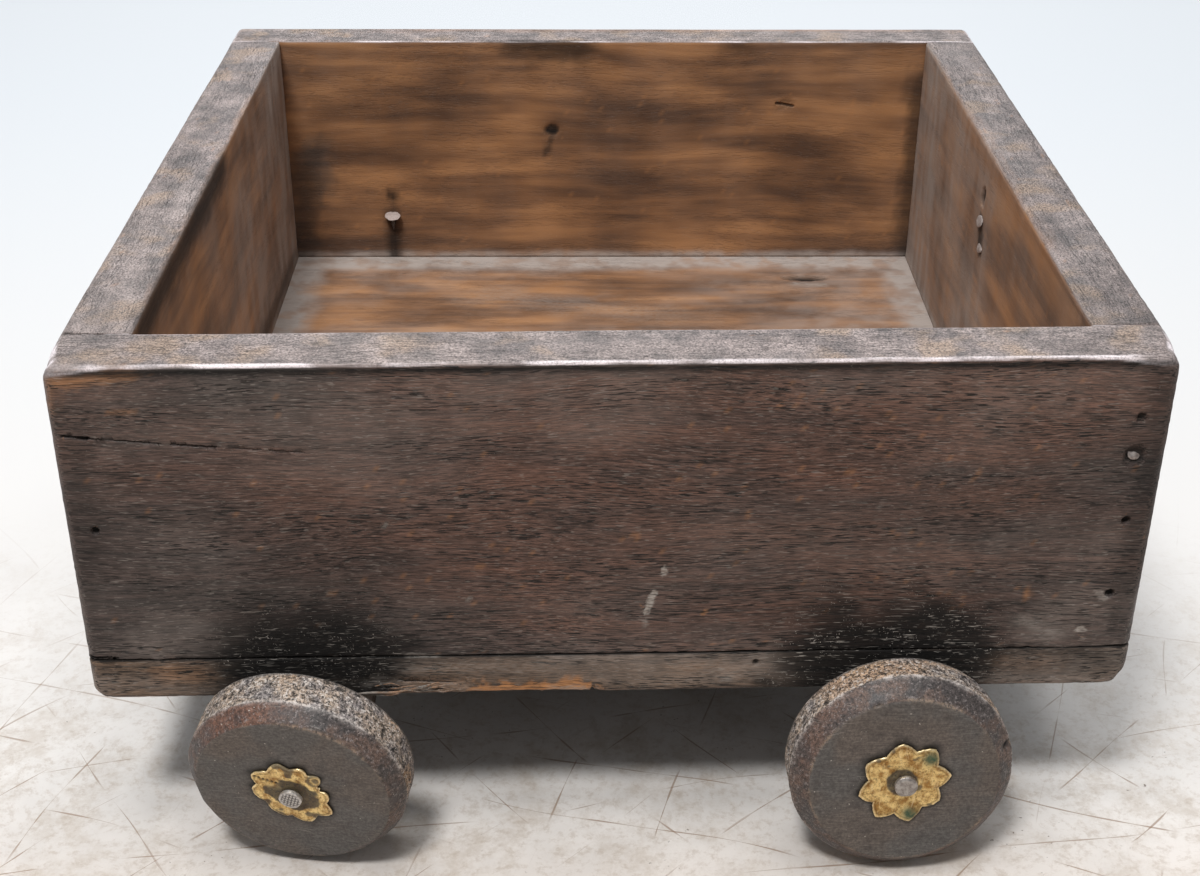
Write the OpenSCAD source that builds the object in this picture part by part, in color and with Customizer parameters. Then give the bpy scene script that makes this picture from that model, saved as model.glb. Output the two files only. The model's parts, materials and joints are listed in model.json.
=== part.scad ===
// Small weathered wooden cart: an open hardwood box that stands on two axle
// beams and rolls on four solid wooden wheels. Each wheel turns on a nail
// driven into a beam's end, behind a flower cut from sheet brass.
// X runs along the travel, Y across the cart from its near to its far side,
// and Z up. The origin is on the ground, under the middle of the box.
// Lengths are in millimetres and angles in degrees.

/* [Box] */
// Length of the box along the travel, over its end boards
box_length = 303.5; // [230:0.5:420]
// Width of the box across the travel, measured at its left end
box_width = 311; // [230:1:420]
// How much narrower the box is at its right end
out_of_square = 6; // [0:0.5:12]
// Height of the side and end boards
board_height = 95; // [60:1:160]
// Thickness of the near and far side boards
side_thick = 20; // [14:0.5:30]
// Thickness of the left and right end boards
end_thick = 20.7; // [12:0.1:30]
// Thickness of the floor board, which the other boards stand on
floor_thick = 14; // [9:0.5:24]
// Radius of the worn upright corners
corner_radius = 3.5; // [1:0.5:10]
// Radius of the worn lower edge at the left and the right end of the floor board
floor_end_radius = [5, 8]; // [3:0.5:9]

/* [Axle beams] */
// Distance of each beam from the middle of the box, left then right
beam_offset = [88.4, 82.6]; // [60:0.1:110]
// Width of a beam along the travel
beam_width = 28; // [20:1:40]
// Height of a beam under the floor board
beam_height = 32; // [26:1:44]
// Distance from the box's side face back to the beam's end
beam_recess = 6; // [5:0.5:14]
// Width of the bevel along a beam's lower edges
beam_bevel = 4; // [1:0.5:7]
// Depth below the floor board, on average, at which the nails enter the beams
nail_drop = 16; // [12:0.1:22]

/* [Wheels] */
// Radius of each wheel: near left, near right, far left, far right
wheel_radius = [32.7, 33.1, 32.9, 33.2]; // [28:0.1:44]
// Thickness of each wheel, in the same order
wheel_thick = [17.3, 15.9, 16.4, 16.8]; // [12:0.1:22]
// Depth of the bevel round a wheel's outer face, along its nail
rim_bevel_depth = 5.5; // [2:0.1:8]
// Width of that bevel on each wheel, towards the nail
rim_bevel_width = [3.9, 5.3, 4.6, 5]; // [2:0.1:9]
// Size of the small bevel round a wheel's back
back_bevel = 1.2; // [0.4:0.1:3]
// Gap from the box's side face to the nearest part of each wheel's back
side_gap = [2.2, 4.8, 3.8, 4.4]; // [1:0.1:12]
// How far each wheel's outer face tips down towards the ground
wheel_lean = [9.6, -3.8, 1.5, 2]; // [-6:0.1:10]
// How far each wheel's outer face turns left, as seen from its own side
wheel_toe = [8.6, -2, -1, 1.5]; // [-6:0.1:10]

/* [Nails and brass flowers] */
// Radius of an axle nail's shank
nail_radius = 2; // [1.5:0.1:3]
// Length of the nail that is driven into the beam
nail_bite = 35; // [20:1:50]
// Length of the nail's point
nail_point = 5; // [2:0.5:8]
// Radius of the nail's head
head_radius = 3.5; // [2.8:0.1:6]
// Thickness of the nail's head
head_thick = 1.7; // [1:0.1:3]
// Thickness of the sheet brass
brass_thick = 1; // [0.6:0.1:2]
// Radius to the tips of each flower's petals, in the order of the wheels
flower_radius = [12.3, 13.7, 13.1, 12.6]; // [9:0.1:16]
// Radius to the notches between those petals
flower_notch_radius = [9.4, 10.5, 10.1, 9.6]; // [7:0.1:13]
// Number of petals on each flower, in the order of the wheels
petal_count = [9, 8, 8, 9]; // [6:1:12]
// Radial clearance of a turning wheel and its flower on the nail
running_clearance = 0.08; // [0.04:0.01:0.1]
// Radial clearance of the nail in the beam that grips it
driven_clearance = 0.02; // [0.01:0.01:0.04]
// Gap between the brass flower and the nail's head
head_gap = 0.5; // [0.3:0.1:1.5]

/* [Hidden] */
$fn = 64;

NEAR_LEFT = 0;
NEAR_RIGHT = 1;
FAR_LEFT = 2;
FAR_RIGHT = 3;

arc_steps = 8;       // straight steps in a quarter turn of a worn corner
end_margin = 1;      // how far a cutting solid runs past the one it cuts
pilot_spare = 1;     // how much deeper a pilot hole is than its nail
rim_step = 2;        // angle between the points tried round a wheel's rim

left = -box_length / 2;
right = box_length / 2;
far = box_width / 2;
beam_x = [-beam_offset[0], beam_offset[1]];

// Y of the near side's outer face at a given X, since that side runs askew
function near(x) = -box_width / 2 + out_of_square * (x - left) / box_length;

// Points of an arc about a centre, from one angle to another
function arc(centre, radius, from, to) =
    [for (i = [0 : arc_steps])
        let (a = from + (to - from) * i / arc_steps)
        centre + radius * [cos(a), sin(a)]];

// Outline of the box seen from above, with its corners worn round
function box_plan() = concat(
    arc([left + corner_radius, near(left) + corner_radius], corner_radius, 180, 270),
    arc([right - corner_radius, near(right) + corner_radius], corner_radius, 270, 360),
    arc([right - corner_radius, far - corner_radius], corner_radius, 0, 90),
    arc([left + corner_radius, far - corner_radius], corner_radius, 90, 180));

// Which side of the cart a wheel is on, and the beam that carries it
function is_far(i) = i == FAR_LEFT || i == FAR_RIGHT;
function beam_of(i) = i == NEAR_LEFT || i == FAR_LEFT ? 0 : 1;

// The beam's end face that a wheel's nail is driven into
function beam_end(i) = is_far(i)
    ? far - beam_recess
    : near(beam_x[beam_of(i)]) + beam_recess;

// How far the part of a tilted wheel that rises beside the box leans in towards it
function lean_in(i) = max([for (a = [0 : rim_step : 180])
    let (along = wheel_radius[i] * cos(a), up = wheel_radius[i] * sin(a))
    if (up > nail_drop) along * sin(wheel_toe[i]) - up * sin(wheel_lean[i])]);

// Distance along the nail from the beam's end to the wheel's back
function standoff(i) = (beam_recess + side_gap[i] + lean_in(i))
    / (cos(wheel_lean[i]) * cos(wheel_toe[i]));

// Distance along the nail from the wheel's back to the rim that meets the ground
function ground_rim(i) = wheel_lean[i] > 0
    ? wheel_thick[i] - rim_bevel_depth
    : back_bevel;

// Height at which the nail enters the beam, so that the wheel meets the ground
function nail_height(i) = wheel_radius[i] * cos(wheel_lean[i])
    + (standoff(i) + ground_rim(i)) * sin(wheel_lean[i]);

// Height of the box's underside, as the four wheels carry it
mean_nail_height = (nail_height(NEAR_LEFT) + nail_height(NEAR_RIGHT)
    + nail_height(FAR_LEFT) + nail_height(FAR_RIGHT)) / 4;
box_lift = mean_nail_height + nail_drop;
floor_top = box_lift + floor_thick;

// Distance along the nail from the beam's end to the brass and to the head
function brass_seat(i) = standoff(i) + wheel_thick[i];
function head_seat(i) = brass_seat(i) + brass_thick + head_gap;

// Puts children on a wheel's nail, with the nail's outward direction along +Z
module on_nail(i) {
    translate([beam_x[beam_of(i)], beam_end(i), nail_height(i)])
        rotate([0, 0, is_far(i) ? 180 : 0])
            rotate([0, 0, -wheel_toe[i]])
                rotate([90 + wheel_lean[i], 0, 0])
                    children();
}

module floor_board() {
    color([0.30, 0.20, 0.14])
        intersection() {
            translate([0, 0, box_lift])
                linear_extrude(floor_thick)
                    polygon(box_plan());
            floor_end_profile();
        }
}

// Side view of the floor board, with its lower edges worn round at the ends
module floor_end_profile() {
    left_radius = floor_end_radius[0];
    right_radius = floor_end_radius[1];
    outline = concat(
        arc([left + left_radius, box_lift + left_radius], left_radius, 180, 270),
        arc([right - right_radius, box_lift + right_radius], right_radius, 270, 360),
        [[right, floor_top + end_margin], [left, floor_top + end_margin]]);
    translate([0, box_width / 2 + end_margin, 0])
        rotate([90, 0, 0])
            linear_extrude(box_width + 2 * end_margin)
                polygon(outline);
}

// The part of the box's plan that lies in a quadrilateral, standing on the floor
module upright_board(outline) {
    color([0.26, 0.16, 0.12])
        translate([0, 0, floor_top])
            linear_extrude(board_height)
                intersection() {
                    polygon(box_plan());
                    polygon(outline);
                }
}

module near_side_board() {
    upright_board([
        [left, near(left)], [right, near(right)],
        [right, near(right) + side_thick], [left, near(left) + side_thick],
    ]);
}

module far_side_board() {
    upright_board([
        [left, far - side_thick], [right, far - side_thick],
        [right, far], [left, far],
    ]);
}

// An end board fills the width between the side boards, from one X to another
module end_board(from, to) {
    upright_board([
        [from, near(from) + side_thick], [to, near(to) + side_thick],
        [to, far - side_thick], [from, far - side_thick],
    ]);
}

module left_end_board() {
    end_board(left, left + end_thick);
}

module right_end_board() {
    end_board(right - end_thick, right);
}

// Beam under the floor, bored at both ends for the two nails named
module axle_beam(near_nail, far_nail) {
    half = beam_width / 2;
    bottom = box_lift - beam_height;
    outline = [
        [-half, box_lift], [half, box_lift],
        [half, bottom + beam_bevel], [half - beam_bevel, bottom],
        [beam_bevel - half, bottom], [-half, bottom + beam_bevel],
    ];
    color([0.22, 0.15, 0.11])
        difference() {
            translate([beam_x[beam_of(near_nail)], beam_end(far_nail), 0])
                rotate([90, 0, 0])
                    linear_extrude(beam_end(far_nail) - beam_end(near_nail))
                        polygon(outline);
            for (i = [near_nail, far_nail])
                on_nail(i)
                    translate([0, 0, -nail_bite - pilot_spare])
                        cylinder(
                            r = nail_radius + driven_clearance,
                            h = nail_bite + pilot_spare + end_margin);
        }
}

module wheel(i) {
    bore = nail_radius + running_clearance;
    r = wheel_radius[i];
    t = wheel_thick[i];
    color([0.24, 0.18, 0.15])
        on_nail(i)
            translate([0, 0, standoff(i)])
                rotate_extrude()
                    polygon([
                        [bore, 0], [r - back_bevel, 0], [r, back_bevel],
                        [r, t - rim_bevel_depth], [r - rim_bevel_width[i], t], [bore, t],
                    ]);
}

// Flat brass flower, with its petals cut round or to a point
module flower(i, pointed) {
    color([0.72, 0.55, 0.25])
        on_nail(i)
            translate([0, 0, brass_seat(i)])
                linear_extrude(brass_thick)
                    difference() {
                        if (pointed)
                            star(petal_count[i], flower_radius[i], flower_notch_radius[i]);
                        else
                            scallops(petal_count[i], flower_radius[i], flower_notch_radius[i]);
                        circle(r = nail_radius + running_clearance);
                    }
}

// Petals cut to a point, from the notch radius out to the tip radius
module star(n, tip, notch) {
    half_step = 180 / n;
    polygon([for (k = [0 : 2 * n - 1])
        let (r = k % 2 == 0 ? tip : notch)
        r * [cos(k * half_step), sin(k * half_step)]]);
}

// Round petals on a disc of the notch radius
module scallops(n, tip, notch) {
    circle(r = notch);
    for (k = [0 : n - 1])
        rotate(k * 360 / n)
            translate([notch, 0])
                circle(r = tip - notch);
}

module nail(i) {
    color([0.45, 0.44, 0.43])
        on_nail(i) {
            translate([0, 0, -nail_bite])
                cylinder(r1 = nail_radius / 5, r2 = nail_radius, h = nail_point);
            translate([0, 0, nail_point - nail_bite])
                cylinder(r = nail_radius, h = head_seat(i) + nail_bite - nail_point);
            translate([0, 0, head_seat(i)])
                cylinder(r = head_radius, h = head_thick);
        }
}

floor_board();
near_side_board();
far_side_board();
left_end_board();
right_end_board();
axle_beam(NEAR_LEFT, FAR_LEFT);  // left_axle_beam
axle_beam(NEAR_RIGHT, FAR_RIGHT);  // right_axle_beam
wheel(NEAR_LEFT);  // near_left_wheel
wheel(NEAR_RIGHT);  // near_right_wheel
wheel(FAR_LEFT);  // far_left_wheel
wheel(FAR_RIGHT);  // far_right_wheel
flower(NEAR_LEFT, false);  // near_left_flower
flower(NEAR_RIGHT, true);  // near_right_flower
flower(FAR_LEFT, true);  // far_left_flower
flower(FAR_RIGHT, false);  // far_right_flower
nail(NEAR_LEFT);  // near_left_nail
nail(NEAR_RIGHT);  // near_right_nail
nail(FAR_LEFT);  // far_left_nail
nail(FAR_RIGHT);  // far_right_nail
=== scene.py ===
"""The looks of a small weathered wooden cart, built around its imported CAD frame.

Blender works in metres. The sizes below are in millimetres, and MM turns them
into metres. X runs along the cart, Y from its near to its far side, Z up.
Worn boards, turned wheels, brass flowers and nails replace the plain CAD
solids one for one, each inside the space of the solid that it stands for.
"""

import json
import math

import bmesh
import bpy
import numpy as np
from mathutils import Matrix, Vector


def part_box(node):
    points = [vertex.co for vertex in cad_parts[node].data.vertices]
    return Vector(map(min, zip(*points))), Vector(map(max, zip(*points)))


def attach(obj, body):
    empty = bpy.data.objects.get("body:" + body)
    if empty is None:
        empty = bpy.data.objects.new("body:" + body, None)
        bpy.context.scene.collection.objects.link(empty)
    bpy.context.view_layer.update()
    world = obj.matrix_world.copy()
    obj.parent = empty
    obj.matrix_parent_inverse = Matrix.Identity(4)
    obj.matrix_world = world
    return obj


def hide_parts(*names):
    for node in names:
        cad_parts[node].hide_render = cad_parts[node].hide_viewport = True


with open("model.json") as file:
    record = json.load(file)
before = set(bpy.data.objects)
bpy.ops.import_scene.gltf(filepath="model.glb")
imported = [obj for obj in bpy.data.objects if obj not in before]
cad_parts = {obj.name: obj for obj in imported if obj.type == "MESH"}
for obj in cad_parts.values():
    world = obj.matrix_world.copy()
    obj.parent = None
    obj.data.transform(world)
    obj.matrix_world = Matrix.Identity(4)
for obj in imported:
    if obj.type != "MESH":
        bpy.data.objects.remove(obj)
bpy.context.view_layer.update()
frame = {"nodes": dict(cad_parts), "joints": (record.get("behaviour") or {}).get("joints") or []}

MM = 0.001                               # metres in a millimetre
INSET = 0.1                              # how far inside a CAD solid a turned outline stays

# ---------------------------------------------------------------- the frame


def node_box(node):
    """Lowest and highest corners of a CAD node, in millimetres."""
    low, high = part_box(node)
    return np.array(low) / MM, np.array(high) / MM


FLOOR_LOW, FLOOR_HIGH = node_box("floor_board")
FAR_LOW, FAR_HIGH = node_box("far_side_board")
NEAR_LOW, NEAR_HIGH = node_box("near_side_board")
LEFT_LOW, LEFT_HIGH = node_box("left_end_board")

LIFT = FLOOR_LOW[2]                      # height of the box's underside
FLOOR_TOP = FLOOR_HIGH[2]
RIM = NEAR_HIGH[2]
LEFT, RIGHT = NEAR_LOW[0], NEAR_HIGH[0]
FAR = FAR_HIGH[1]
SIDE_THICK = FAR_HIGH[1] - FAR_LOW[1]
END_THICK = LEFT_HIGH[0] - LEFT_LOW[0]
SKEW = NEAR_HIGH[1] - NEAR_LOW[1] - SIDE_THICK
FAR_WALL = FAR - SIDE_THICK              # the four planes round the bed
NEAR_WALL = NEAR_LOW[1] + SIDE_THICK
LEFT_WALL = LEFT + END_THICK
RIGHT_WALL = RIGHT - END_THICK
CORNERS = ("near_left", "near_right", "far_left", "far_right")


def near_y(x):
    """Y of the near side's outer face, which runs a little askew."""
    return NEAR_LOW[1] + SKEW * (x - LEFT) / (RIGHT - LEFT)


# ------------------------------------------------------------- smooth noise


def lattice_value(i, j, k, seed):
    """A repeatable number from -1 to 1 for each whole-number lattice point."""
    n = (i * np.uint32(73856093)) ^ (j * np.uint32(19349663)) ^ (k * np.uint32(83492791))
    n = n ^ np.uint32((seed * 2654435761) & 0xFFFFFFFF)
    n = (n ^ (n >> np.uint32(13))) * np.uint32(1274126177)
    n = (n ^ (n >> np.uint32(15))) * np.uint32(2246822519)
    n = n ^ (n >> np.uint32(16))
    return n.astype(float) / 0x7FFFFFFF - 1


def noise(points, size, seed=0):
    """Smooth noise from -1 to 1, with lumps about size across: a number, or one per axis."""
    p = np.asarray(points, float) / size
    base = np.floor(p)
    f = p - base
    f = f * f * (3 - 2 * f)
    cell = base.astype(np.int64).astype(np.uint32)
    total = np.zeros(len(p))
    for di in (0, 1):
        for dj in (0, 1):
            for dk in (0, 1):
                weight = (
                    (f[:, 0] if di else 1 - f[:, 0])
                    * (f[:, 1] if dj else 1 - f[:, 1])
                    * (f[:, 2] if dk else 1 - f[:, 2])
                )
                corner = cell + np.array([di, dj, dk], np.uint32)
                total += weight * lattice_value(corner[:, 0], corner[:, 1], corner[:, 2], seed)
    return total


def rough(points, size, seed=0, octaves=3):
    """Noise with finer and finer lumps, from about -1 to 1."""
    total = np.zeros(len(points))
    reach = 0
    for octave in range(octaves):
        share = 0.5 ** octave
        total += share * noise(points, np.asarray(size) * share, seed + 17 * octave)
        reach += share
    return total / reach


def smooth(value, start, end):
    """0 before start, 1 after end, with a smooth step between them."""
    t = np.clip((value - start) / (end - start), 0, 1)
    return t * t * (3 - 2 * t)


# -------------------------------------------------------------- local marks


class Mark:
    """A worn place along a short line on a surface: it dents the surface and paints it.

    start and end are points in millimetres, radius is how far it reaches (one
    number, or one for each axis), depth is how deep it goes, and paint maps an
    attribute to its strength.
    """

    def __init__(self, start, end=None, radius=1.0, depth=0.0, ragged=0.25, core=0.5, **paint):
        self.radius = np.broadcast_to(np.asarray(radius, float), 3)
        self.start = np.array(start, float) / self.radius
        self.end = np.array(start if end is None else end, float) / self.radius
        self.depth = depth
        self.ragged = ragged
        self.core = core
        self.paint = paint

    def distance(self, points):
        """Distance from the mark's line, where 1 is as far as it reaches."""
        scaled = points / self.radius
        along = self.end - self.start
        share = np.clip((scaled - self.start) @ along / max(along @ along, 1e-9), 0, 1)
        return np.linalg.norm(scaled - self.start - share[:, None] * along, axis=1)

    def strength(self, points):
        """1 in the middle of the mark, 0 past its ragged edge."""
        lumps = rough(points, self.radius * 0.7, 5) + 0.5 * noise(points, self.radius * 0.2, 6)
        return 1 - smooth(self.distance(points) / (1 + self.ragged * lumps), self.core, 1)


# -------------------------------------------------------------- mesh making

PAINTS = (
    "edge", "inside", "top", "red", "stain", "scuff", "raw", "dust", "specks", "tread", "bevel", "line",
)


def surface_lattice(xs, ys, zs):
    """Vertices and quads of a box's surface, divided along the given lines."""
    lines = (xs, ys, zs)
    counts = [len(a) for a in lines]
    on_surface = np.zeros(counts, bool)
    on_surface[[0, -1]] = True
    on_surface[:, [0, -1]] = True
    on_surface[:, :, [0, -1]] = True
    index = np.full(counts, -1)
    index[on_surface] = np.arange(on_surface.sum())
    vertices = np.stack(np.meshgrid(*lines, indexing="ij"), -1)[on_surface]
    quads = []
    for axis in range(3):
        for end in (0, counts[axis] - 1):
            sheet = np.take(index, end, axis)
            quad = np.stack([sheet[:-1, :-1], sheet[1:, :-1], sheet[1:, 1:], sheet[:-1, 1:]], -1)
            quad = quad.reshape(-1, 4)
            outward = (end != 0) == (axis != 1)
            quads.append(quad if outward else quad[:, ::-1])
    return vertices, np.concatenate(quads)


def divided(vertices, quads, marks, spacing, place):
    """The same surface with smaller faces under each small mark."""
    bm = bmesh.new()
    made = [bm.verts.new(v) for v in vertices]
    for quad in quads:
        bm.faces.new([made[i] for i in quad])
    for _ in range(3):
        small = [m for m in marks if m.depth and m.radius.min() < 2.5 * spacing]
        if not small:
            break
        faces = list(bm.faces)
        centres = place(np.array([f.calc_center_median() for f in faces]))
        chosen = np.zeros(len(faces), bool)
        for mark in small:
            chosen |= (mark.distance(centres) - 1.3) * mark.radius.max() < spacing
        bm.edges.index_update()
        edges = {e for f, pick in zip(faces, chosen) if pick for e in f.edges}
        edges = sorted(edges, key=lambda e: e.index)
        bmesh.ops.subdivide_edges(bm, edges=edges, cuts=1, use_grid_fill=True)
        spacing /= 2
    return bm


def add_object(name, data):
    made = bpy.data.objects.new(name, data)
    bpy.context.scene.collection.objects.link(made)
    return made


def make_piece(name, source, points, attributes, material, body="cart", replaced=None):
    """Makes a piece from a mesh in progress or a list of faces, and hangs it on its body."""
    data = bpy.data.meshes.new(name)
    if isinstance(source, bmesh.types.BMesh):
        source.to_mesh(data)
        source.free()
    else:
        data.from_pydata(points.tolist(), [], [list(map(int, face)) for face in source])
    data.vertices.foreach_set("co", (points * MM).astype(np.float32).ravel())
    data.polygons.foreach_set("use_smooth", np.ones(len(data.polygons), bool))
    for attribute in PAINTS:
        layer = data.attributes.new(attribute, "FLOAT", "POINT")
        values = np.broadcast_to(attributes.get(attribute, 0.0), len(points))
        layer.data.foreach_set("value", values.astype(np.float32))
    data.update()
    data.materials.append(material)
    piece = add_object(name, data)
    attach(piece, body)
    if replaced:
        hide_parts(replaced)
    return piece


# ------------------------------------------------------------------- boards

LOW, HIGH = 0, 1
X, Y, Z = 0, 1, 2


class Board:
    """A box with rounded edges, made in a straight space before it is set askew."""

    def __init__(self, low, high, spacing, edge=0.2):
        self.low = np.array(low, float)
        self.high = np.array(high, float)
        self.spacing = spacing
        self.edge = edge
        self.rounds = {}

    def round(self, axis_a, side_a, axis_b, side_b, radius, radius_b=None):
        """Rounds the edge between two sides. radius is a number or a function of points."""
        self.rounds[(axis_a, side_a), (axis_b, side_b)] = radius
        self.rounds[(axis_b, side_b), (axis_a, side_a)] = radius if radius_b is None else radius_b
        return self

    def lines(self, axis, border=7.0):
        """Dividing lines along an axis, closer together near both ends."""
        low, high = self.low[axis], self.high[axis]
        span = high - low
        border = min(border, span / 3)
        close = np.linspace(0, border, max(2, round(border / self.spacing * 2)) + 1)
        steps = max(2, round((span - 2 * border) / self.spacing))
        middle = np.linspace(border, span - border, steps + 1)
        return low + np.concatenate([close[:-1], middle, (span - close[::-1])[1:]])

    def radii(self, points):
        """Rounding radius at each point, for the low and the high side of each axis."""
        result = np.zeros((len(points), 3, 2))
        gaps = np.stack([points - self.low, self.high - points], -1)
        for axis, side in [(a, s) for a in (X, Y, Z) for s in (LOW, HIGH)]:
            weight = np.full(len(points), 1e-9)
            total = weight * self.edge
            for other, other_side in [(a, s) for a in (X, Y, Z) if a != axis for s in (LOW, HIGH)]:
                radius = self.rounds.get(((axis, side), (other, other_side)), self.edge)
                if callable(radius):
                    radius = radius(points)
                away = gaps[:, axis, side] ** 2 + gaps[:, other, other_side] ** 2
                nearness = (radius + 0.3) ** 2 / (away + 4.0) ** 2
                weight = weight + nearness
                total = total + nearness * radius
            result[:, axis, side] = total / weight
        return result * (1 + 0.1 * rough(points, 20, 91))[:, None, None]

    def worn(self, points):
        """Points moved onto the rounded box, and the way they face."""
        radii = self.radii(points)
        core = np.clip(points, self.low + radii[:, :, LOW], self.high - radii[:, :, HIGH])
        out = points - core
        reach = np.where(out < 0, radii[:, :, LOW], radii[:, :, HIGH])
        unit = out / reach
        unit /= np.maximum(np.linalg.norm(unit, axis=1), 1e-9)[:, None]
        return core + unit * reach, unit


def askew(points):
    """Sets straight boards to the cart's real plan, whose near side runs out of square."""
    placed = points.copy()
    share = (FAR - points[:, Y]) / (FAR - NEAR_LOW[Y])
    placed[:, Y] += SKEW * share * (points[:, X] - LEFT) / (RIGHT - LEFT)
    return placed


def straight(points):
    return points


def build_board(name, board, marks, relief, paint, material, node, place=askew):
    """Makes a worn board. relief and paint take the placed points and the way they face."""
    vertices, quads = surface_lattice(*(board.lines(axis) for axis in (X, Y, Z)))
    bm = divided(vertices, quads, marks, board.spacing, place)
    flat = np.array([v.co for v in bm.verts])
    points, unit = board.worn(flat)
    points = place(points)
    depth = relief(points, unit)
    attributes = dict(paint(points, unit))
    at_seam = np.abs(points[:, Z] - FLOOR_TOP) < 1.5
    attributes["edge"] = roundness(unit) * (0.25 + 0.75 * smooth(unit[:, Z], 0.1, 0.4)) * ~at_seam
    for mark in marks:
        strength = mark.strength(points)
        depth = depth + mark.depth * strength
        for key, amount in mark.paint.items():
            attributes[key] = np.maximum(attributes.get(key, 0.0), amount * strength)
    points = points - unit * depth[:, None]
    return make_piece(name, bm, points, attributes, material, replaced=node)


def roundness(unit):
    """0 on a flat side, 1 half way round an edge."""
    return np.clip((1 - np.abs(unit).max(1)) / 0.29, 0, 1)


def from_walls(points):
    """Distances into the bed from the four planes round it, one row for each plane."""
    x, y = points[:, X], points[:, Y]
    return np.array([x - LEFT_WALL, RIGHT_WALL - x, y - NEAR_WALL, FAR_WALL - y])


def from_bed_joint(points):
    """Distance from the line where a wall meets the bed, for points on either."""
    return np.hypot(np.abs(from_walls(points)).min(0), points[:, Z] - FLOOR_TOP)


def board_relief(grain, seed, strength=1.0):
    """A worn board's surface: low waves, shallow grain furrows and nibbled edges."""
    across = [1.6, 1.6, 1.6]
    across[grain] = 40
    fine = [0.9, 0.9, 0.9]
    fine[grain] = 12

    def relief(points, unit):
        waves = 0.10 * (1 + rough(points, 55, seed))
        furrows = 0.07 * (1 + noise(points, across, seed + 1)) + 0.05 * (1 + noise(points, fine, seed + 2))
        edge = roundness(unit)
        nibble = 0.5 * smooth(rough(points, 4.0, seed + 3), 0.25, 0.8) * edge
        crumbs = 0.18 * smooth(noise(points, 1.4, seed + 4), 0.1, 0.8) * edge
        return strength * (waves + furrows + nibble + crumbs) * smooth(from_bed_joint(points), 0.2, 2.5)

    return relief


# ------------------------------------------------------- marks of the boards


def marker(place):
    """A function that makes marks on one surface: place turns its two coordinates into a point."""

    def mark(a, b, a2=None, b2=None, **rest):
        end = None if a2 is None else place(a2, b2)
        return Mark(place(a, b), end, **rest)

    return mark


# Heights are above the box's underside.
near_mark = marker(lambda x, z: (x, near_y(x), LIFT + z))
rim_mark = marker(lambda x, y: (x, y, RIM))
bed_mark = marker(lambda x, y: (x, y, FLOOR_TOP))
far_wall_mark = marker(lambda x, z: (x, FAR_WALL, LIFT + z))
left_wall_mark = marker(lambda y, z: (LEFT_WALL, y, LIFT + z))
right_wall_mark = marker(lambda y, z: (RIGHT_WALL, y, LIFT + z))


def hole(x, z, radius, depth=1.6):
    """A small nail hole in the near face, with a dark inside and a worn rim."""
    return [
        near_mark(x, z, radius=radius, depth=depth, stain=1.0, ragged=0.1, core=0.55),
        near_mark(x, z, radius=radius * 1.9, depth=0.12, stain=0.45, ragged=0.3, core=0.1),
    ]


# Grime on the near face behind and above the wheels, with the wheels' shade painted into it, and darker
# marks near the face's two ends.
NEAR_FACE_GRIME_AND_SHADE = [
    near_mark(72, 10, 90, 12, radius=(36, 12, 33), stain=1.0, specks=1.0, ragged=0.35, core=0.38),
    near_mark(-94, 10, -82, 11, radius=(33, 12, 31), stain=1.0, specks=0.6, ragged=0.35, core=0.38),
    near_mark(-122, 30, -70, 40, radius=(26, 12, 24), stain=0.15, ragged=0.6, core=0.0),
    near_mark(50, 26, 118, 24, radius=(24, 12, 22), stain=0.20, ragged=0.6, core=0.0),
    near_mark(-147, 40, -145, 80, radius=(9, 12, 20), stain=0.35, ragged=0.6, core=0.0),
    near_mark(147, 40, 148, 95, radius=(8, 12, 20), stain=0.5, ragged=0.5, core=0.0),
]
NEAR_FACE_DUST = [
    near_mark(-130, 20, -124, 24, radius=(22, 12, 14), dust=0.30, ragged=0.6, core=0.0),
    near_mark(126, 22, 130, 28, radius=(24, 12, 15), dust=0.34, ragged=0.6, core=0.0),
    near_mark(60, 50, 130, 74, radius=(40, 12, 24), stain=0.16, ragged=0.6, core=0.0),
    near_mark(100, 7, 150, 7, radius=(22, 6, 8), stain=0.42, ragged=0.6, core=0.2),
]
NEAR_FACE_SCUFFS = [
    near_mark(14.1, 42.2, radius=(1.3, 3, 2.2), scuff=0.9, depth=0.1, ragged=0.5),
    near_mark(11.2, 34.9, 9.2, 28.3, radius=1.3, scuff=1.0, depth=0.12, ragged=0.6),
    near_mark(9, 24.8, radius=(1.1, 3, 1.4), scuff=0.6, ragged=0.5),
    near_mark(135.8, 20.3, radius=(2.2, 3, 1.4), scuff=0.9, depth=0.1, ragged=0.5),
    near_mark(138.8, 33.5, 140.8, 31.0, radius=(1.6, 3, 1.0), scuff=0.5, ragged=0.6),
    near_mark(33.3, 4, radius=(2.4, 3, 1.2), scuff=0.45, ragged=0.5),
    near_mark(119.3, 24, 127.3, 18, radius=(7, 5, 3.5), scuff=0.28, ragged=0.9, core=0.0),
    near_mark(26.1, 27.8, radius=(1.4, 3, 0.7), raw=0.9, ragged=0.5),
    near_mark(118.7, 32.7, radius=(1.1, 3, 2.8), raw=0.5, ragged=0.5),
    near_mark(-58.7, 14.5, -52.7, 14.0, radius=(3, 3, 0.8), scuff=0.5, ragged=0.6),
]
NEAR_FACE_HOLES = (
    hole(-143.3, 57.9, 1.35) + hole(143.4, 57.2, 1.5) + hole(142.4, 32.6, 1.6) + hole(142.7, 90.1, 1.8, 0.9)
    + [near_mark(142.6, 78.2, radius=3.7, depth=1.3, stain=0.9, ragged=0.12, core=0.6)]
)
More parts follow.
